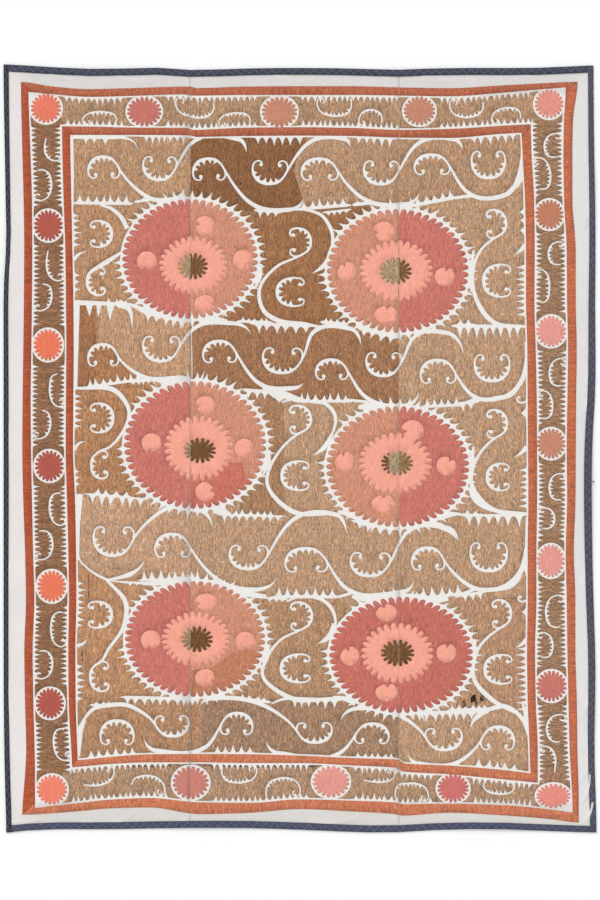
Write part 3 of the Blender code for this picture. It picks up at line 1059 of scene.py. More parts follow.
# Plain vines, arches and thorns. Columns: widths at the start, middle and end, then the places they go
# through
VINES = (
    (0.4, 0.5, 0.8, ((-57.9, -39.4), (-55.2, -39.8), (-51.7, -40.1))),
    (0.8, 2.0, 0.0, ((35.7, -22.8), (39.9, -22.6), (43.8, -24.1), (46.1, -25.9), (47.3, -27.7))),
    (0.8, 2.2, 1.2, ((30.0, -43.7), (34.6, -44.4), (39.6, -45.6), (44.5, -45.0))),
    (1.2, 2.0, 0.4, ((39.2, -21.8), (42.6, -20.3), (46.5, -19.6), (49.1, -19.7))),
    (1.6, 1.9, 0.5, ((51.2, -11.9), (52.2, -14.6), (54.5, -16.9), (57.6, -18.8))),
    (0.8, 1.6, 0.0, ((-68.1, 93.3), (-57.0, 93.5), (-52.5, 93.2), (-49.8, 92.0), (-48.5, 89.3))),
    (0.7, 1.2, 1.4, ((-60.0, 73.2), (-56.4, 71.9), (-53.7, 69.5), (-51.8, 66.0))),
    (1.6, 1.3, 1.0, ((-67.4, 43.8), (-63.2, 43.7), (-52.5, 43.3))),
    (2.4, 1.2, 0.0, ((-63.2, 43.5), (-63.2, 41.6), (-63.1, 39.4))),
    (1.8, 1.0, 0.0, ((-60.3, 43.5), (-60.4, 41.6), (-60.5, 39.3))),
    (2.8, 1.3, 0.0, ((-56.9, 43.5), (-57.0, 41.2), (-57.0, 38.1))),
    (1.7, 1.0, 0.0, ((-57.5, 43.3), (-57.4, 44.3), (-57.4, 45.2))),
    (1.5, 0.9, 0.0, ((-54.8, 43.2), (-54.9, 44.1), (-55.0, 45.0))),
    (1.5, 0.9, 0.0, ((-52.3, 43.0), (-52.3, 43.8), (-52.3, 44.6))),
    (0.9, 1.3, 2.4, ((-52.1, 43.4), (-49.4, 42.7), (-47.0, 41.6), (-45.2, 41.9))),
    (1.0, 2.4, 1.4, ((-44.8, 21.1), (-39.9, 20.3), (-33.4, 20.9))),
    (0.3, 0.35, 0.3, ((-32.6, 34.7), (-32.5, 29.0), (-32.4, 21.3))),
    (1.6, 2.0, 1.4, ((-30.0, 37.8), (-25.8, 38.6), (-21.8, 38.1))),
    (1.2, 2.6, 1.8, ((-11.2, 18.1), (-7.4, 16.5), (-5.5, 14.4))),
    (2.4, 2.2, 1.2, ((-7.0, 17.1), (-3.2, 15.6), (0.6, 14.5))),
    (1.0, 2.8, 1.6, ((17.4, 12.4), (20.9, 12.7), (24.3, 12.7))),
    (2.6, 1.2, 0.0, ((-54.6, 43.7), (-51.6, 42.2), (-50.2, 35.9))),
    (1.4, 0.9, 0.0, ((-32.7, 19.1), (-30.1, 20.3), (-28.6, 23.6))),
    (0.4, 0.6, 0.9, ((-66.6, -30.3), (-66.0, -33.5), (-63.6, -36.0), (-60.5, -38.1), (-57.9, -39.3))),
    (0.5, 1.5, 0.0, ((-57.9, -39.3), (-54.8, -38.8), (-52.1, -38.1), (-49.4, -36.8), (-47.5, -34.9),
                     (-46.5, -32.9))),
    (0.4, 1.8, 1.0, ((-51.7, -40.0), (-44.1, -40.4), (-36.4, -39.4), (-30.3, -39.5))),
    (1.0, 2.6, 1.6, ((15.5, -44.4), (19.0, -45.0), (23.6, -44.4), (29.7, -43.5))),
    (0.8, 2.2, 1.2, ((-23.1, -41.0), (-18.5, -42.5), (-14.7, -43.7), (-10.1, -44.4))),
    (1.4, 2.2, 0.6, ((-26.2, -18.8), (-23.5, -18.7), (-20.8, -19.6))),
    (1.0, 2.0, 1.2, ((11.3, -18.8), (14.0, -19.6), (18.2, -21.1), (23.6, -22.6), (29.7, -23.8))),
    (0.6, 1.8, 0.6, ((-11.6, 55.4), (-12.2, 51.9), (-13.4, 48.1))),
    (0.6, 1.8, 0.6, ((-9.1, -0.4), (-9.7, -3.9), (-10.9, -7.7))),
    (0.6, 1.8, 0.6, ((-9.4, -58.6), (-10.0, -62.1), (-11.2, -65.9))),
    (0.6, 1.8, 0.6, ((52.1, 59.6), (51.6, 55.7), (51.4, 51.9), (51.3, 47.0))),
    (0.6, 1.8, 0.6, ((52.1, 0.8), (51.6, -3.1), (51.4, -7.0), (51.2, -11.8))),
    (0.6, 1.8, 0.6, ((52.6, -57.5), (52.3, -60.5), (51.9, -64.5), (51.9, -68.2))),
    (1.2, 1.2, 0.0, ((68.7, -85.9), (66.7, -81.1), (61.4, -77.2), (56.7, -78.0), (53.7, -79.6),
                     (51.2, -82.9))),
    (1.6, 1.5, 0.3, ((56.5, -78.3), (53.8, -79.9), (51.9, -81.8), (51.1, -83.7))),
    (0.6, 1.2, 0.0, ((-3.3, 71.8), (2.9, 71.4), (6.7, 69.8), (8.6, 67.2), (9.6, 64.9), (9.7, 61.5),
                     (8.9, 58.4), (7.6, 55.8), (5.6, 53.5), (3.3, 52.3))),
    (0.6, 1.2, 0.0, ((-5.5, 13.9), (-3.2, 14.6), (4.4, 14.0), (7.5, 13.5), (9.8, 11.4), (10.7, 9.1),
                     (10.2, 6.0), (8.6, 2.6), (6.5, -0.2), (3.6, -2.1))),
    (0.6, 1.2, 0.0, ((-4.0, -45.8), (-0.2, -44.4), (3.3, -44.4), (6.7, -45.4), (9.0, -47.3), (10.4, -50.2),
                     (10.6, -52.8), (9.4, -55.5), (8.3, -57.5), (5.2, -59.0))),
    (0.8, 1.5, 0.0, ((8.9, 58.2), (7.2, 55.0), (3.4, 52.4))),
    (0.9, 1.6, 0.0, ((9.6, 4.3), (7.1, 0.2), (3.6, -2.2))),
    (0.9, 1.8, 0.0, ((10.1, -52.4), (8.9, -56.1), (4.9, -58.8))),
    (1.2, 0.8, 0.0, ((-67.9, 56.6), (-66.3, 58.4), (-63.8, 59.3))),
    (1.2, 0.8, 0.0, ((-67.9, -0.4), (-66.3, 1.6), (-64.0, 2.4))),
    (1.2, 0.8, 0.0, ((-66.9, -59.2), (-64.8, -58.3), (-63.6, -56.7))),
    (1.0, 1.4, 1.0, ((-68.5, 93.5), (-68.5, 83.6), (-68.4, 72.8))),
    (1.6, 1.2, 0.8, ((-66.8, 44.6), (-67.0, 32.6), (-67.2, 17.6))),
    (2.4, 1.0, 0.9, ((-66.3, -13.6), (-66.5, -22.9), (-66.7, -33.4))),
    (1.2, 2.3, 0.8, ((-64.7, -81.3), (-66.1, -84.9), (-66.4, -92.2))),
    (1.2, 1.4, 1.0, ((9.8, -74.7), (12.9, -74.9), (16.5, -76.7))),
    (1.2, 1.9, 1.5, ((17.1, -77.5), (23.2, -77.8), (30.1, -79.6))),
    (0.4, 0.8, 1.0, ((-8.6, -76.5), (-6.3, -75.5), (-3.2, -74.8))),
    (1.0, 1.2, 1.5, ((49.9, -78.8), (56.0, -78.3), (61.0, -77.1))),
    (0.5, 2.2, 0.8, ((66.7, -76.5), (67.9, -79.6), (68.3, -84.9))),
    (0.7, 1.5, 0.6, ((57.9, 15.3), (61.9, 16.0), (64.5, 17.8), (66.7, 20.9), (67.7, 24.8),
                     (67.7, 32.0))),
    (0.7, 1.9, 0.8, ((57.4, -42.3), (61.4, -41.1), (65.0, -38.4), (67.1, -35.0), (67.9, -31.2),
                     (68.1, -20.6))),
    (1.7, 1.0, 0.0, ((67.6, 61.1), (66.0, 59.3), (64.0, 57.9))),
    (1.7, 1.0, 0.0, ((68.1, 0.5), (66.3, -1.3), (64.0, -2.7))),
    (1.7, 1.0, 0.0, ((68.4, -56.8), (66.6, -58.6), (64.4, -59.9))),
    (0.6, 0.6, 0.7, ((68.1, 14.3), (66.0, 13.8), (65.0, 14.7), (65.4, 15.6), (66.1, 15.2))),
    (0.6, 0.6, 0.7, ((68.1, -45.4), (66.3, -45.9), (65.4, -45.1), (65.7, -44.2), (66.5, -44.7))),
    (1.0, 1.0, 1.1, ((46.5, 75.2), (49.2, 75.6), (52.2, 75.9))),
    (1.0, 1.0, 1.1, ((47.7, 13.1), (50.4, 14.0), (53.4, 15.2))),
    (1.0, 1.0, 1.1, ((46.5, -44.4), (49.5, -43.3), (52.5, -42.1))),
    (0.9, 0.8, 0.9, ((13.8, 14.6), (16.8, 14.4), (20.4, 14.0))),
    (0.9, 0.9, 1.0, ((11.4, -44.5), (13.5, -43.9), (16.2, -43.0))),
    (1.0, 2.3, 0.9, ((61.5, 75.9), (65.9, 80.6), (67.0, 86.5), (66.6, 95.0))),
    (0.6, 1.2, 0.8, ((67.2, 77.6), (67.6, 72.0), (68.0, 66.0))),
    (0.8, 1.5, 0.8, ((68.1, -33.4), (68.1, -35.8), (68.4, -39.4))),
)

# Rows of teeth between the bands of the field. Columns: x and y of each end, which way they point, their
# pitch, their depth and the width of the line that they stand on
ROWS = (
    (-13.9, 71.6, -5.1, 71.0, DOWN, 2.2, 1.8, 0.8),
    (6.7, 70.8, 15.5, 71.8, DOWN, 1.8, 1.0, 0.6),
    (-47.5, 41.0, -32.6, 38.1, DOWN, 2.4, 2.3, 1.2),
    (-51.7, 20.1, -42.4, 20.9, DOWN, 1.6, 1.0, 0.9),
    (-19.1, 38.2, -8.0, 37.8, UP, 1.9, 1.0, 0.8),
    (16.9, 36.4, 30.1, 33.3, DOWN, 2.5, 1.7, 1.2),
    (-17.4, 17.7, -5.5, 16.8, DOWN, 2.3, 1.9, 1.0),
    (-63.0, -76.9, -55.2, -77.1, UP, 1.8, 0.9, 0.8),
    (-19.3, -74.8, -8.6, -76.1, UP, 2.2, 1.1, 0.9),
    (45.3, 36.8, 53.1, 37.1, UP, 2.4, 1.7, 0.9),
    (47.6, -19.9, 55.2, -19.8, UP, 2.4, 1.2, 0.6),
    (46.5, 13.4, 54.0, 14.3, DOWN, 2.6, 2.0, 0.9),
    (47.4, -44.2, 56.1, -42.8, DOWN, 2.4, 2.6, 0.7),
    (-68.4, 73.7, -49.8, 73.5, UP, 2.45, 2.5, 0.9),
    (-49.8, 74.0, -44.4, 74.7, UP, 2.45, 0.6, 0.8),
    (-1.2, 71.7, 15.6, 73.1, UP, 2.25, 2.1, 0.9),
    (15.6, 73.1, 21.6, 73.7, UP, 2.25, 0.6, 1.0),
    (30.9, 72.3, 47.4, 75.5, UP, 2.25, 2.1, 1.0),
    (-15.3, 37.6, 4.3, 36.8, DOWN, 2.9, 2.3, 0.9),
    (6.0, 38.0, 14.5, 37.2, UP, 1.8, 1.2, 1.0),
    (45.3, 36.8, 67.8, 36.8, DOWN, 2.4, 3.6, 0.9),
    (-65.1, 18.2, -46.5, 20.9, UP, 2.1, 2.0, 0.8),
    (-2.0, 14.2, 16.2, 14.2, UP, 2.2, 2.2, 0.8),
    (36.0, 12.5, 48.9, 13.1, UP, 2.1, 1.9, 0.8),
    (-65.0, -13.5, -44.9, -15.2, DOWN, 2.75, 3.0, 0.5),
    (-64.0, -13.5, -48.9, -14.8, UP, 2.8, 1.5, 0.5),
    (-24.8, -19.8, -4.2, -20.3, DOWN, 2.2, 1.8, 0.5),
    (-21.2, -19.8, -6.8, -20.2, UP, 2.2, 1.4, 0.5),
    (47.4, -20.0, 68.4, -19.9, DOWN, 2.85, 3.3, 0.7),
    (-48.7, -39.5, -30.3, -39.0, UP, 2.35, 2.5, 0.7),
    (-53.3, -40.1, -44.8, -40.2, DOWN, 1.9, 0.9, 0.5),
    (-10.9, -44.7, -3.6, -45.2, DOWN, 1.8, 0.9, 0.6),
    (15.2, -21.5, 29.7, -24.2, DOWN, 2.7, 1.9, 0.8),
    (-9.0, -44.5, 12.6, -44.5, UP, 2.6, 2.5, 0.9),
    (32.7, -45.3, 50.1, -43.4, UP, 2.6, 2.6, 0.9),
    (-54.0, -74.5, -29.7, -75.1, DOWN, 2.4, 2.1, 0.9),
    (-4.2, -74.8, 12.6, -75.4, DOWN, 2.3, 2.4, 0.9),
    (33.5, -79.2, 54.0, -79.0, DOWN, 2.2, 2.4, 1.0),
    (44.0, -78.6, 57.5, -78.2, UP, 1.9, 1.3, 1.0),
)

# Teeth along the inner red line. Columns: side, start, end, pitch, depth
EDGE_TEETH = (
    ("top", -67.6, -55.2, 3.1, 2.5),
    ("top", -48.0, -33.4, 1.75, 2.2),
    ("top", -15.0, 2.1, 2.4, 2.3),
    ("top", 15.6, 29.4, 2.4, 2.3),
    ("top", 49.8, 66.3, 2.4, 2.3),
    ("left", 71.9, 59.5, 1.8, 2.3),
    ("left", 54.4, 45.6, 2.0, 1.8),
    ("left", 17.6, 5.0, 1.8, 2.3),
    ("left", -5.0, -12.5, 1.8, 1.3),
    ("left", -38.8, -54.5, 1.8, 2.3),
    ("left", -63.7, -77.0, 1.8, 2.3),
    ("right", 74.0, 62.0, 3.4, 1.2),
    ("right", 15.5, 6.5, 4.2, 1.4),
    ("right", -45.6, -53.0, 3.4, 1.4),
    ("right", 56.4, 38.6, 1.7, 2.6),
    ("right", -4.6, -18.8, 1.7, 2.6),
    ("right", -58.5, -80.0, 1.75, 2.9),
    ("bottom", -65.4, -48.0, 2.35, 2.1),
    ("bottom", -27.2, -12.4, 2.3, 2.1),
    ("bottom", 15.6, 29.6, 1.9, 1.3),
    ("bottom", 51.3, 66.6, 2.4, 2.2),
)

# Lots of dye: the thread's colour and the corners of the part that was worked in it. Later rows lie over
# earlier ones
LOTS = (
    ((186, 151, 122), ((-75.0, -105.0), (75.0, -105.0), (75.0, 105.0), (-75.0, 105.0))),
    ((183, 146, 114), ((-69.6, 95.6), (-32.9, 95.6), (-32.9, 70.1), (-49.8, 73.7), (-69.6, 73.7))),
    ((139, 96, 60), ((-32.9, 95.6), (2.4, 95.6), (1.8, 92.0), (-0.9, 87.1), (-1.9, 83.2), (-0.5, 79.0),
                     (0.9, 74.8), (-3.0, 71.0), (-32.9, 70.1))),
    ((180, 144, 115), ((2.4, 95.6), (69.0, 95.6), (69.0, 75.8), (47.4, 75.5), (30.9, 72.2), (0.8, 72.2),
                      (0.9, 74.8), (-0.5, 79.0), (-1.9, 83.2), (-0.9, 87.1), (1.8, 92.0))),
    ((182, 141, 108), ((-69.6, 73.7), (-49.8, 73.7), (-45.0, 70.1), (-45.0, 44.0), (-69.6, 44.0))),
    ((157, 111, 74), ((-22.5, 71.3), (-3.0, 71.0), (0.8, 72.5), (21.6, 73.4), (21.6, 36.8), (-22.5, 37.7))),
    ((162, 113, 77), ((-69.0, 44.0), (-61.2, 44.0), (-61.2, 18.2), (-69.0, 18.2))),
    ((191, 153, 121), ((-61.2, 44.0), (-32.9, 44.0), (-32.9, 20.0), (-61.2, 18.2))),
    ((172, 124, 84), ((-61.2, 31.1), (-58.8, 31.4), (-55.2, 29.6), (-51.0, 23.0), (-46.8, 21.3),
                      (-43.8, 19.1), (-61.2, 18.2))),
    ((160, 116, 82), ((-32.9, 38.0), (1.5, 37.7), (5.4, 36.2), (14.1, 36.5), (29.6, 35.6), (29.6, 12.8),
                      (15.0, 14.6), (-1.2, 14.6), (-7.5, 17.6), (-32.9, 18.5))),
    ((178, 131, 94), ((-69.6, 18.5), (-61.2, 18.5), (-45.0, 19.7), (-45.0, -14.5), (-69.6, -13.6))),
    ((167, 127, 95), ((-18.0, 17.6), (-7.5, 17.3), (-4.8, 14.6), (-4.8, -19.9), (-18.0, -19.9))),
    ((193, 156, 128), ((-69.6, -13.9), (-45.0, -14.8), (-32.9, -16.9), (-32.9, -38.5), (-69.6, -34.0))),
    ((184, 140, 105), ((-69.6, -34.0), (-65.4, -34.0), (-59.4, -38.5), (-45.0, -38.5), (-45.0, -74.8),
                       (-69.6, -74.8))),
    ((177, 140, 109), ((-18.0, -44.8), (13.5, -44.5), (13.5, -75.4), (-18.0, -75.4))),
    ((181, 143, 114), ((46.5, -44.8), (69.0, -44.5), (69.0, -85.3), (66.0, -79.3), (52.5, -78.7),
                       (46.5, -76.9))),
    ((176, 136, 104), ((-69.6, -74.8), (-29.1, -75.1), (-29.1, -94.9), (-69.6, -94.9))),
    ((162, 129, 104), ((-29.1, -74.8), (12.6, -75.4), (29.6, -79.0), (29.6, -94.9), (-29.1, -94.9))),
)


def across_horn(facing, side):
    """The way across a horn, from its curl to its stem or its other curl."""
    return np.array((side, 0.0)) if facing[1] else np.array((0.0, side))


def in_horn(facing, side, x, y, wide, deep, spots):
    """Places on the cloth of spots that are given as shares of a horn's width and depth."""
    across = across_horn(facing, side)
    return [np.array((x, y)) + across * u * wide + np.array(facing) * v * deep for u, v in spots]


def horn_line(facing, side, x, y, wide, deep, stem=()):
    """A curled line: a dot, over the crown, and down to the other curl or away along its stem."""
    rest = SHOULDER if len(stem) else [(-u, v) for u, v in reversed(CURL)]
    return through([*in_horn(facing, side, x, y, wide, deep, [*CURL, (0.0, 0.0), *rest]), *stem])


def horn(facing, side, x, y, wide, deep, stem=(), widths=HORN_WIDTHS):
    """The bare shapes of a horn: its line with teeth inside the curve, its hook and its dots."""
    line = horn_line(facing, side, x, y, wide, deep, stem)
    whole = lengths(line)[-1]
    bow = lengths(horn_line(facing, side, x, y, wide, deep))[-1]
    start = TEETH_FROM * bow / whole
    end = (TEETH_TO_STEM if len(stem) else TEETH_TO) * bow / whole
    hand = hand_towards(across_horn(facing, side), -np.array(facing))
    shapes = [stroke(line, widths, **{hand: (start, end, *HORN_TEETH)})]
    if len(stem):
        hook = in_horn(facing, side, x, y, wide, deep, HOOK)
        shapes.append(stroke(through(hook), HOOK_WIDTHS))
    dots = (CURL_DOT, HOOK_DOT if len(stem) else OTHER_DOT)
    shapes.extend(disc(*spot, DOT) for spot in in_horn(facing, side, x, y, wide, deep, dots))
    return shapes


def tendril(facing, side, x, y, wide, deep, land_x, land_y, run_x, run_y, tip_x, tip_y):
    """The bare shapes of a tendril, which grows wider down its stem and thins to a sickle."""
    back = -facing[1]
    flank = in_horn(facing, side, x, y, wide, deep, SHOULDER[-1:])[0]
    land, run, tip = np.array(((land_x, land_y), (run_x, run_y), (tip_x, tip_y)))
    arm = STEM_ARM * abs(land_y - flank[1]) + STEM_MORE
    first = flank + np.array((side, back)) * STEM_LEAVES * arm
    second = land - np.array((side, back)) * STEM_LANDS * arm
    t = np.array((0.25, 0.5, 0.75))[:, None]
    descent = flank * (1 - t) ** 3 + 3 * first * t * (1 - t) ** 2 + 3 * second * t * t * (1 - t) + land * t**3
    bend = np.array((tip_x - side * SICKLE_BEND * abs(tip_x - run_x), run_y))
    t = np.array((0.33, 0.67))[:, None]
    rise = run * (1 - t) ** 2 + 2 * bend * t * (1 - t) + tip * t * t
    stem = [*descent, land, run, *rise, tip]
    line = horn_line(facing, side, x, y, wide, deep, stem)
    reach = lengths(line)
    at_flank, at_land, at_run = (
        reach[np.argmin(np.hypot(*(line - spot).T))] / reach[-1] for spot in (flank, land, run)
    )
    widths = (
        (0, 0.6),
        (0.05, 0.5),
        (0.5 * at_flank, HORN_WIDE),
        (at_flank, 0.6),
        (at_land, 1.3),
        (at_run, 1.4),
        (0.5 + 0.5 * at_run, 1.05),
        (1.0, 0.02),
    )
    return horn(facing, side, x, y, wide, deep, stem, widths)


def vine(first, middle, last, places):
    """The bare line of a vine, as wide as is said at its start, middle and end."""
    return stroke(through(places), ((0, first), (0.5, middle), (1, last)))


def row_of_teeth(x0, y0, x1, y1, way, pitch, deep, wide):
    """A bare line that is thin at its ends, with teeth all along one side."""
    line = through(((x0, y0), ((x0 + x1) / 2, (y0 + y1) / 2), (x1, y1)))
    widths = ((0, 0.2), (0.08, wide), (0.92, wide), (1, 0.2))
    return stroke(line, widths, **{hand_towards(line[1] - line[0], way): (0.0, 1.0, pitch, deep)})


DARK_ROSE = (199, 116, 105)
PEACH = (205, 142, 117)

# The roundels of the field. Columns: x, y, half width, half height, the thread's colour on the left and
# the right of the seam, and the angles between which the ring is smooth, where a tendril runs along it
ROUNDELS = (
    (-33.0, 56.9, 20.4, 18.0, DARK_ROSE, PEACH, (149, 180)),
    (29.3, 53.3, 21.3, 18.6, PEACH, DARK_ROSE, (147, 179)),
    (-31.5, 1.1, 21.4, 19.2, DARK_ROSE, PEACH, (147, 180)),
    (29.3, -5.4, 21.5, 18.2, PEACH, DARK_ROSE, (137, 172)),
    (-31.5, -57.1, 21.1, 17.4, DARK_ROSE, PEACH, (154, 188)),
    (30.3, -61.9, 21.6, 17.5, (197, 110, 99), (194, 109, 96), (131, 172)),
)

# How many petals and spikes go round a roundel, its bare ring's width and spikes, and how far both lean over
ROUNDEL_PETALS = 53
RING = 0.6
RING_SPIKE = 2.4
LEAN = 2.0


def field_bares():
    """The bare shapes of the field, the rings round the roundels first."""
    bares = [
        petalled(x, y, rx + RING, ry + RING, ROUNDEL_PETALS, RING_SPIKE, True, LEAN, smooth)
        for x, y, rx, ry, _, _, smooth in ROUNDELS
    ]
    for row in TENDRILS:
        bares.extend(tendril(*row))
    for facing, *row in HORNS:
        bares.extend(horn(facing, 1, *row))
    for row in HANGING:
        bares.extend(horn(*row, widths=STEM_WIDTHS))
    bares.extend(vine(*row) for row in VINES)
    bares.extend(row_of_teeth(*row) for row in ROWS)
    bares.extend(comb_on(side, 3, start, end, pitch, deep) for side, start, end, pitch, deep in EDGE_TEETH)
    return bares


field_edge = frame_outline(3, LINE_BARE)
embroider("field_silk", up_silk, one_colour(COTTON), [field_edge], field_bares(), LOTS)

# The roundels
# Rose silk in rounded petals round a salmon rosette with a dark toothed heart, and four salmon blossoms.
# Each was worked half on one panel and half on the next, often in threads of two colours.

SALMON = (240, 162, 142)
ROUNDEL_CUT = 2.1

# Parts of the roundels that were worked in another thread: its colour and the corners
ROSE_LOTS = (
    ((199, 113, 98), ((-32.9, -4.2), (-17.2, -4.2), (-16.2, -9.4), (-12.6, -10.4), (-16.8, -16.6),
                      (-26.0, -22.0), (-32.9, -22.0))),
    ((189, 124, 95), ((-32.9, -66.5), (-27.0, -66.0), (-20.4, -61.2), (-16.0, -60.2), (-9.0, -61.0),
                      (-9.0, -76.0), (-32.9, -76.0))),
)

INNER_PETALS = 28
INNER_CUT = 2.3

# The rosettes inside the roundels. Columns: x, y, half width, half height
ROSETTES_INNER = (
    (-31.9, 54.9, 10.4, 8.9),
    (28.9, 53.3, 11.1, 9.3),
    (-30.3, 0.1, 10.5, 9.9),
    (28.6, -4.5, 11.1, 9.4),
    (-31.1, -57.2, 10.5, 8.4),
    (29.2, -61.4, 11.0, 9.2),
)

HEART_PETALS = 16
HEART_CUT = 1.9

# Hearts. Columns: x, y, half width, half height and the thread's colour on each side of the seam
HEARTS = (
    (-32.1, 54.7, 4.6, 4.1, (170, 145, 108), (116, 80, 40)),
    (28.7, 53.2, 5.0, 4.1, (166, 146, 112), (118, 84, 44)),
    (-30.0, -0.6, 4.9, 3.9, (150, 128, 88), (110, 74, 36)),
    (29.1, -4.4, 4.9, 3.8, (112, 78, 40), (140, 114, 74)),
    (-30.9, -57.2, 4.9, 4.0, (158, 134, 94), (108, 72, 32)),
    (29.3, -61.3, 5.1, 4.1, (118, 82, 40), (108, 72, 34)),
)

# Part of the right heart of the middle row was worked in another thread: its colour and the corners
HEART_LOTS = (((168, 150, 118), ((26.7, 1.0), (RIGHT_SEAM, 1.0), (RIGHT_SEAM, -10.0), (26.7, -10.0))),)

# The notch of a blossom: how deep it is as a share of the radius, and half its width in radians, then the
# same of the shallow tail beside it, and how far round that lies
NOTCH_DEEP = 0.55
NOTCH_HALF = 0.17
TAIL_DEEP = 0.12
TAIL_HALF = 0.5
TAIL_TURN = 0.6

# Blossoms. Columns: x, y, half width, half height, and the way that the notch looks in degrees
BLOSSOMS = (
    (-45.9, 56.2, 3.0, 3.0, 258),
    (-17.1, 56.6, 3.1, 3.0, 330),
    (-28.5, 66.8, 3.1, 3.0, 165),
    (-28.3, 43.4, 3.4, 2.7, 355),
    (14.1, 53.1, 3.0, 3.0, 112),
    (43.4, 51.7, 3.0, 3.0, 75),
    (25.2, 65.1, 3.3, 3.0, 185),
    (25.7, 40.3, 3.4, 2.8, 80),
    (-44.5, 1.6, 3.0, 3.0, 255),
    (-16.7, 0.0, 3.0, 3.0, 305),
    (-28.4, 12.9, 3.1, 2.9, 185),
    (-28.4, -12.9, 3.0, 2.9, 10),
    (13.4, -3.9, 3.0, 3.1, 100),
    (43.9, -5.1, 3.0, 3.0, 55),
    (33.7, 5.5, 3.4, 3.0, 190),
    (24.9, -16.4, 3.5, 2.8, 85),
    (-44.8, -57.5, 3.0, 3.0, 262),
    (-16.4, -57.9, 3.1, 3.0, 275),
    (-28.2, -46.2, 3.5, 2.7, 190),
    (-28.3, -68.8, 3.2, 2.7, 335),
    (14.9, -62.2, 2.9, 2.9, 103),
    (43.9, -61.2, 3.0, 3.0, 80),
    (25.9, -49.2, 3.2, 2.6, 110),
    (26.0, -73.1, 3.4, 2.8, 85),
)


def blossom(x, y, rx, ry, way):
    """A round blossom with a comma cut into it on one side."""
    outline = disc(x, y, rx, ry, ROUND_STEPS)
    angle = np.radians(way)
    turn = np.arctan2((outline[:, 1] - y) / ry, (outline[:, 0] - x) / rx) - angle
    turn = (turn + np.pi) % (2 * np.pi) - np.pi
    notch = NOTCH_DEEP * np.exp(-((turn / NOTCH_HALF) ** 2))
    tail = TAIL_DEEP * np.exp(-(((turn - TAIL_TURN) / TAIL_HALF) ** 2))
    return np.array((x, y)) + (outline - (x, y)) * (1 - notch - tail)[:, None]


def halves(rows):
    """Colours for places in some round shapes, by which side of the seam they lie on."""
    middles = np.array([row[0] for row in rows])
    threads = np.array([row[4:6] for row in rows], float)

    def colours(centres):
        k = nearest(rows, centres)
        seam = np.where(middles[k] < 0, LEFT_SEAM, RIGHT_SEAM)
        return threads[k, (centres[:, 0] > seam).astype(int)]

    return colours


roundels = [petalled(*row[:4], ROUNDEL_PETALS, ROUNDEL_CUT, False, LEAN) for row in ROUNDELS]
salmon = [petalled(*row, INNER_PETALS, INNER_CUT) for row in ROSETTES_INNER]
salmon += [blossom(*row) for row in BLOSSOMS]
hearts = [petalled(*row[:4], HEART_PETALS, HEART_CUT) for row in HEARTS]
embroider("rose_roundels", rose_silk, halves(ROUNDELS), roundels, salmon, ROSE_LOTS)
embroider("salmon_rosettes", bright_silk, one_colour(SALMON), salmon, hearts)
embroider("dark_hearts", up_silk, halves(HEARTS), hearts, lots=HEART_LOTS)

# The binding
# Strips of dark blue cotton folded over the raw edges, a little puckered, each held down by a zigzag of
# running stitches in pale thread.

BINDING = {"left": (46, 46, 62), "right": (74, 74, 90), "top": (63, 67, 84), "bottom": (70, 75, 98)}
PALE_THREAD = (150, 152, 168)

# The zigzag: how far its points are apart along the strip, how far it stays from the strip's ends and from
# its two edges, and how far a point may be out of place
ZIGZAG_PITCH = 2.6
ZIGZAG_END = 0.8
ZIGZAG_INSET = 0.3
ZIGZAG_ASTRAY = 0.1

# The running stitches of one leg: where they start, how long they are, as shares of it, and their width
STITCH_STARTS = (0.04, 0.37, 0.7)
STITCH_RUN = 0.26
STITCH_WIDE = 0.11

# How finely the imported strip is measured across, and how far beyond its edges
PROBE_PITCH = 0.12
PROBE_BEYOND = 0.1

# The rings of a stitch's mesh. Columns: share of its length, how full the thread is there
STITCH_RINGS = ((0.0, 0.4), (0.2, 1.0), (0.8, 1.0), (1.0, 0.4))

# How high a full thread stands, as a share of its width
STITCH_TALL = 0.55


def binding_look():
    look, shader = material("dark_blue_cotton", 0.85, 0.25)
    painted = add(look, "Attribute", attribute_name="thread").outputs["Color"]
    warp = noise(look, (1100.0, 90.0, 0.0), 0.9, 1.1)
    weft = noise(look, (90.0, 1100.0, 0.0), 0.9, 1.1, seed=3.0)
    rubbed = noise(look, (70.0, 70.0, 0.0), 0.86, 1.16, seed=6.0)
    puckers = noise(look, (95.0, 95.0, 0.0), 0.4, 1.6, seed=8.0)
    tint(look, shader, painted, times(look, warp, weft, rubbed), times(look, warp, puckers), 0.002)
    return look


def stitches(name, look, bars):
    """Short threads in one mesh. bars gives both ends in cm, a width in cm, a height in m and a colour."""
    spots, faces, colours = [], [], []
    for start, end, wide, up, colour in bars:
        start, end = np.array(start), np.array(end)
        aside = np.array((start[1] - end[1], end[0] - start[0])) / np.hypot(*(end - start)) * wide / 2
        base = len(spots)
        for share, part in STITCH_RINGS:
            spot = start + (end - start) * share
            for out, lift in ((-1.0, -0.3), (-0.5, part), (0.5, part), (1.0, -0.3)):
                x, y = spot + aside * out * (0.6 + 0.4 * part)
                spots.append((x, y, lift * wide * CM * STITCH_TALL + up))
        for ring in range(3):
            for k in range(4):
                a, b = base + ring * 4 + k, base + ring * 4 + (k + 1) % 4
                faces.append((a, b, b + 4, a + 4))
        faces += [(base + 3, base + 2, base + 1, base), (base + 12, base + 13, base + 14, base + 15)]
        colours += [colour] * (len(faces) - len(colours))
    spots = np.array(spots)
    mesh = bpy.data.meshes.new(name)
    mesh.from_pydata(np.column_stack((spots[:, :2] * CM, spots[:, 2])), [], faces)
    paint(mesh, colours)
    mesh.shade_smooth()
    piece(name, mesh, look)


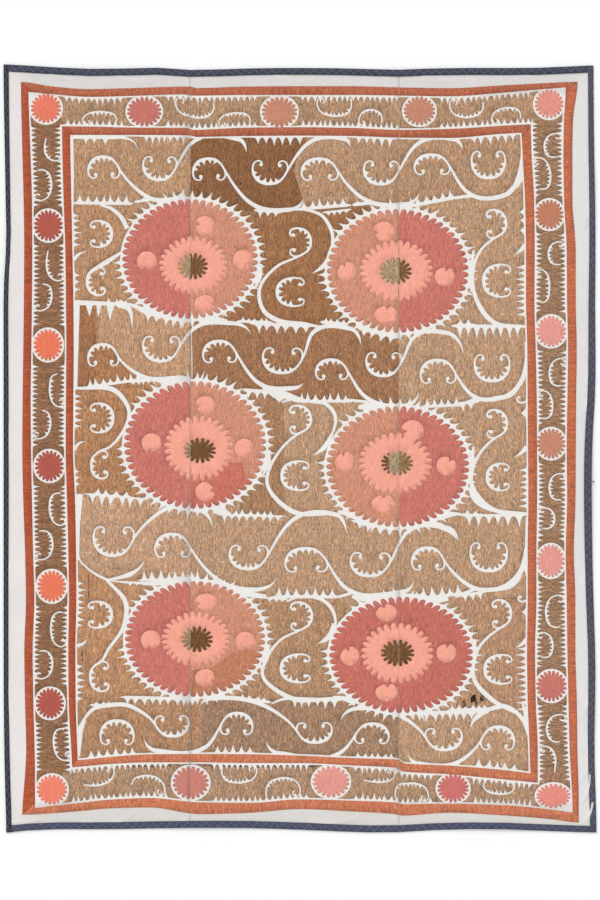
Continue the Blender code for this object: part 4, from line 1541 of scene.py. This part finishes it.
def binding_strip(side, look):
    """One strip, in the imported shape. Gives that shape as a tree to measure."""
    node = "binding_" + side
    shape = packed_shape(node)
    mesh = bpy.data.meshes.new("binding_" + side + "_cloth")
    shape.to_mesh(mesh)
    tree = BVHTree.FromBMesh(shape)
    shape.free()
    mesh.shade_smooth()
    paint(mesh, [BINDING[side]] * len(mesh.polygons))
    strip = piece(mesh.name, mesh, look)
    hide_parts(node)
    return tree


def zigzag_on(side, tree):
    """The stitches of a strip's zigzag, from point to point between its two edges."""
    low, high = (np.array(corner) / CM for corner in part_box("binding_" + side))
    along, across = (1, 0) if side in ("left", "right") else (0, 1)
    places = np.arange(low[along] + ZIGZAG_END, high[along] - ZIGZAG_END, ZIGZAG_PITCH / 2)
    outs = np.arange(low[across] - PROBE_BEYOND, high[across] + PROBE_BEYOND, PROBE_PITCH)
    bars = []
    last = None
    for k, place in enumerate(places):
        hits = []
        for out in outs:
            hit = straight_down(tree, *((out, place) if along else (place, out)))
            if hit is not None:
                hits.append((out, hit.z))
        if len(hits) < 4:
            continue
        out = hits[0][0] + ZIGZAG_INSET if k % 2 else hits[-1][0] - ZIGZAG_INSET
        spot = (out, place) if along else (place, out)
        here = np.array((*spot, max(up for _, up in hits)))
        here[:2] += chance.uniform(-ZIGZAG_ASTRAY, ZIGZAG_ASTRAY, 2)
        if last is not None:
            for share in STITCH_STARTS:
                start, end = last + (here - last) * share, last + (here - last) * (share + STITCH_RUN)
                bars.append((start[:2], end[:2], STITCH_WIDE, (start[2] + end[2]) / 2, PALE_THREAD))
        last = here
    return bars


blue = binding_look()
zigzag = []
for side in SIDES:
    zigzag += zigzag_on(side, binding_strip(side, blue))
thread = cotton_look()
thread.name = "sewing_thread"
stitches("binding_stitches", thread, zigzag)

# The seams and the marks of wear
# The panels are whipped together with cotton thread. There is a clumsy darn in black thread low on the
# right, and a few stray dark threads elsewhere.

SEAM_THREAD = (236, 224, 212)
SEAM_PITCH = 0.5

# A stitch of the seams: half its size across and along the seam, its thread's width, how far it may be out
# of place, how far out the stitches go, and from where they lie lower, on the bare cotton
SEAM_STITCH = np.array((0.16, 0.14))
SEAM_WIDE = 0.07
SEAM_ASTRAY = 0.12
SEAM_END = 112.5
SEAM_BARE = 109.5
SEAM_LIFT = 0.1 * MM

# A darning stitch: the longest it may be, how far it may lean, its thread's width, and how far above the
# cloth it lies
DARN_LONGEST = 1.1
DARN_LEAN = 0.08
DARN_WIDE = 0.22
DARN_LIFT = 0.2 * MM

# Marks. Columns: x, y, width, height, how many threads and their colour
MARKS = (
    (88.0, -10.0, 0.5, 0.5, 4, (60, 66, 70)),
    (52.0, -75.0, 1.4, 2.4, 30, (26, 22, 20)),
    (49.2, -76.6, 0.9, 2.0, 7, (46, 34, 26)),
    (54.9, -75.2, 1.5, 2.0, 11, (40, 30, 24)),
    (47.1, -76.9, 0.4, 1.2, 3, (90, 62, 40)),
    (52.9, -76.7, 0.4, 1.6, 4, (46, 34, 26)),
    (-65.3, -62.1, 0.05, 3.2, 3, (84, 60, 38)),
    (-64.2, -62.1, 0.05, 3.2, 3, (90, 64, 40)),
    (-17.7, 79.4, 0.4, 0.5, 3, (70, 44, 26)),
    (-63.4, -41.5, 0.12, 9.2, 14, (148, 84, 54)),
    (81.0, -15.4, 0.4, 0.4, 2, (110, 60, 44)),
)


def marks():
    """The stitches of the marks of wear, then those of the seams."""
    bars = []
    for x, y, wide, tall, count, colour in MARKS:
        for _ in range(count):
            at = np.array((x, y)) + chance.uniform(-0.5, 0.5, 2) * (wide, tall * 0.8)
            run = min(tall, DARN_LONGEST) * chance.uniform(0.6, 1.0) / 2
            lean = chance.uniform(-DARN_LEAN, DARN_LEAN)
            up = float(level(*at[:, None])[0]) + DARN_LIFT
            bars.append((at - (lean, run), at + (lean, run), DARN_WIDE, up, colour))
    for seam in (LEFT_SEAM, RIGHT_SEAM):
        for y in np.arange(-SEAM_END, SEAM_END, SEAM_PITCH):
            at = np.array((seam, y + chance.uniform(-SEAM_ASTRAY, SEAM_ASTRAY)))
            up = float(level(*at[:, None])[0]) - (STITCH_RISE if abs(at[1]) > SEAM_BARE else 0.0)
            bars.append((at - SEAM_STITCH, at + SEAM_STITCH, SEAM_WIDE, up + SEAM_LIFT, SEAM_THREAD))
    return bars


stitches("seams_and_darns", thread, marks())

# The floor, the light and the camera
# A plain white floor under even light, with the camera straight above the middle of the cloth.

mesh = bpy.data.meshes.new("floor")
shape = bmesh.new()
bmesh.ops.create_grid(shape, x_segments=1, y_segments=1, size=60.0)
shape.to_mesh(mesh)
shape.free()
floor = bpy.data.objects.new("floor", mesh)
bpy.context.scene.collection.objects.link(floor)
white, white_shader = material("white_floor", 0.9, 0.0)
white_shader.inputs["Base Color"].default_value = (0.96, 0.96, 0.96, 1.0)
mesh.materials.append(white)
floor.location.z = -0.0005

world = bpy.data.worlds.new("even_light")
world.use_nodes = True
world.node_tree.nodes["Background"].inputs["Color"].default_value = (1.0, 1.0, 1.0, 1.0)
world.node_tree.nodes["Background"].inputs["Strength"].default_value = 0.86
bpy.context.scene.world = world

sun = bpy.data.lights.new("key_light", "SUN")
sun.energy = 1.0
sun.angle = 0.5
key = bpy.data.objects.new("key_light", sun)
key.rotation_euler = (-0.75, -0.65, 0.0)
bpy.context.scene.collection.objects.link(key)

lens = bpy.data.cameras.new("camera")
lens.lens = 120.0
lens.sensor_width = 36.0
camera = bpy.data.objects.new("camera", lens)
camera.location = (0.0, -0.0042, 9.0)
bpy.context.scene.collection.objects.link(camera)
bpy.context.scene.camera = camera
bpy.context.scene.view_settings.view_transform = "Standard"
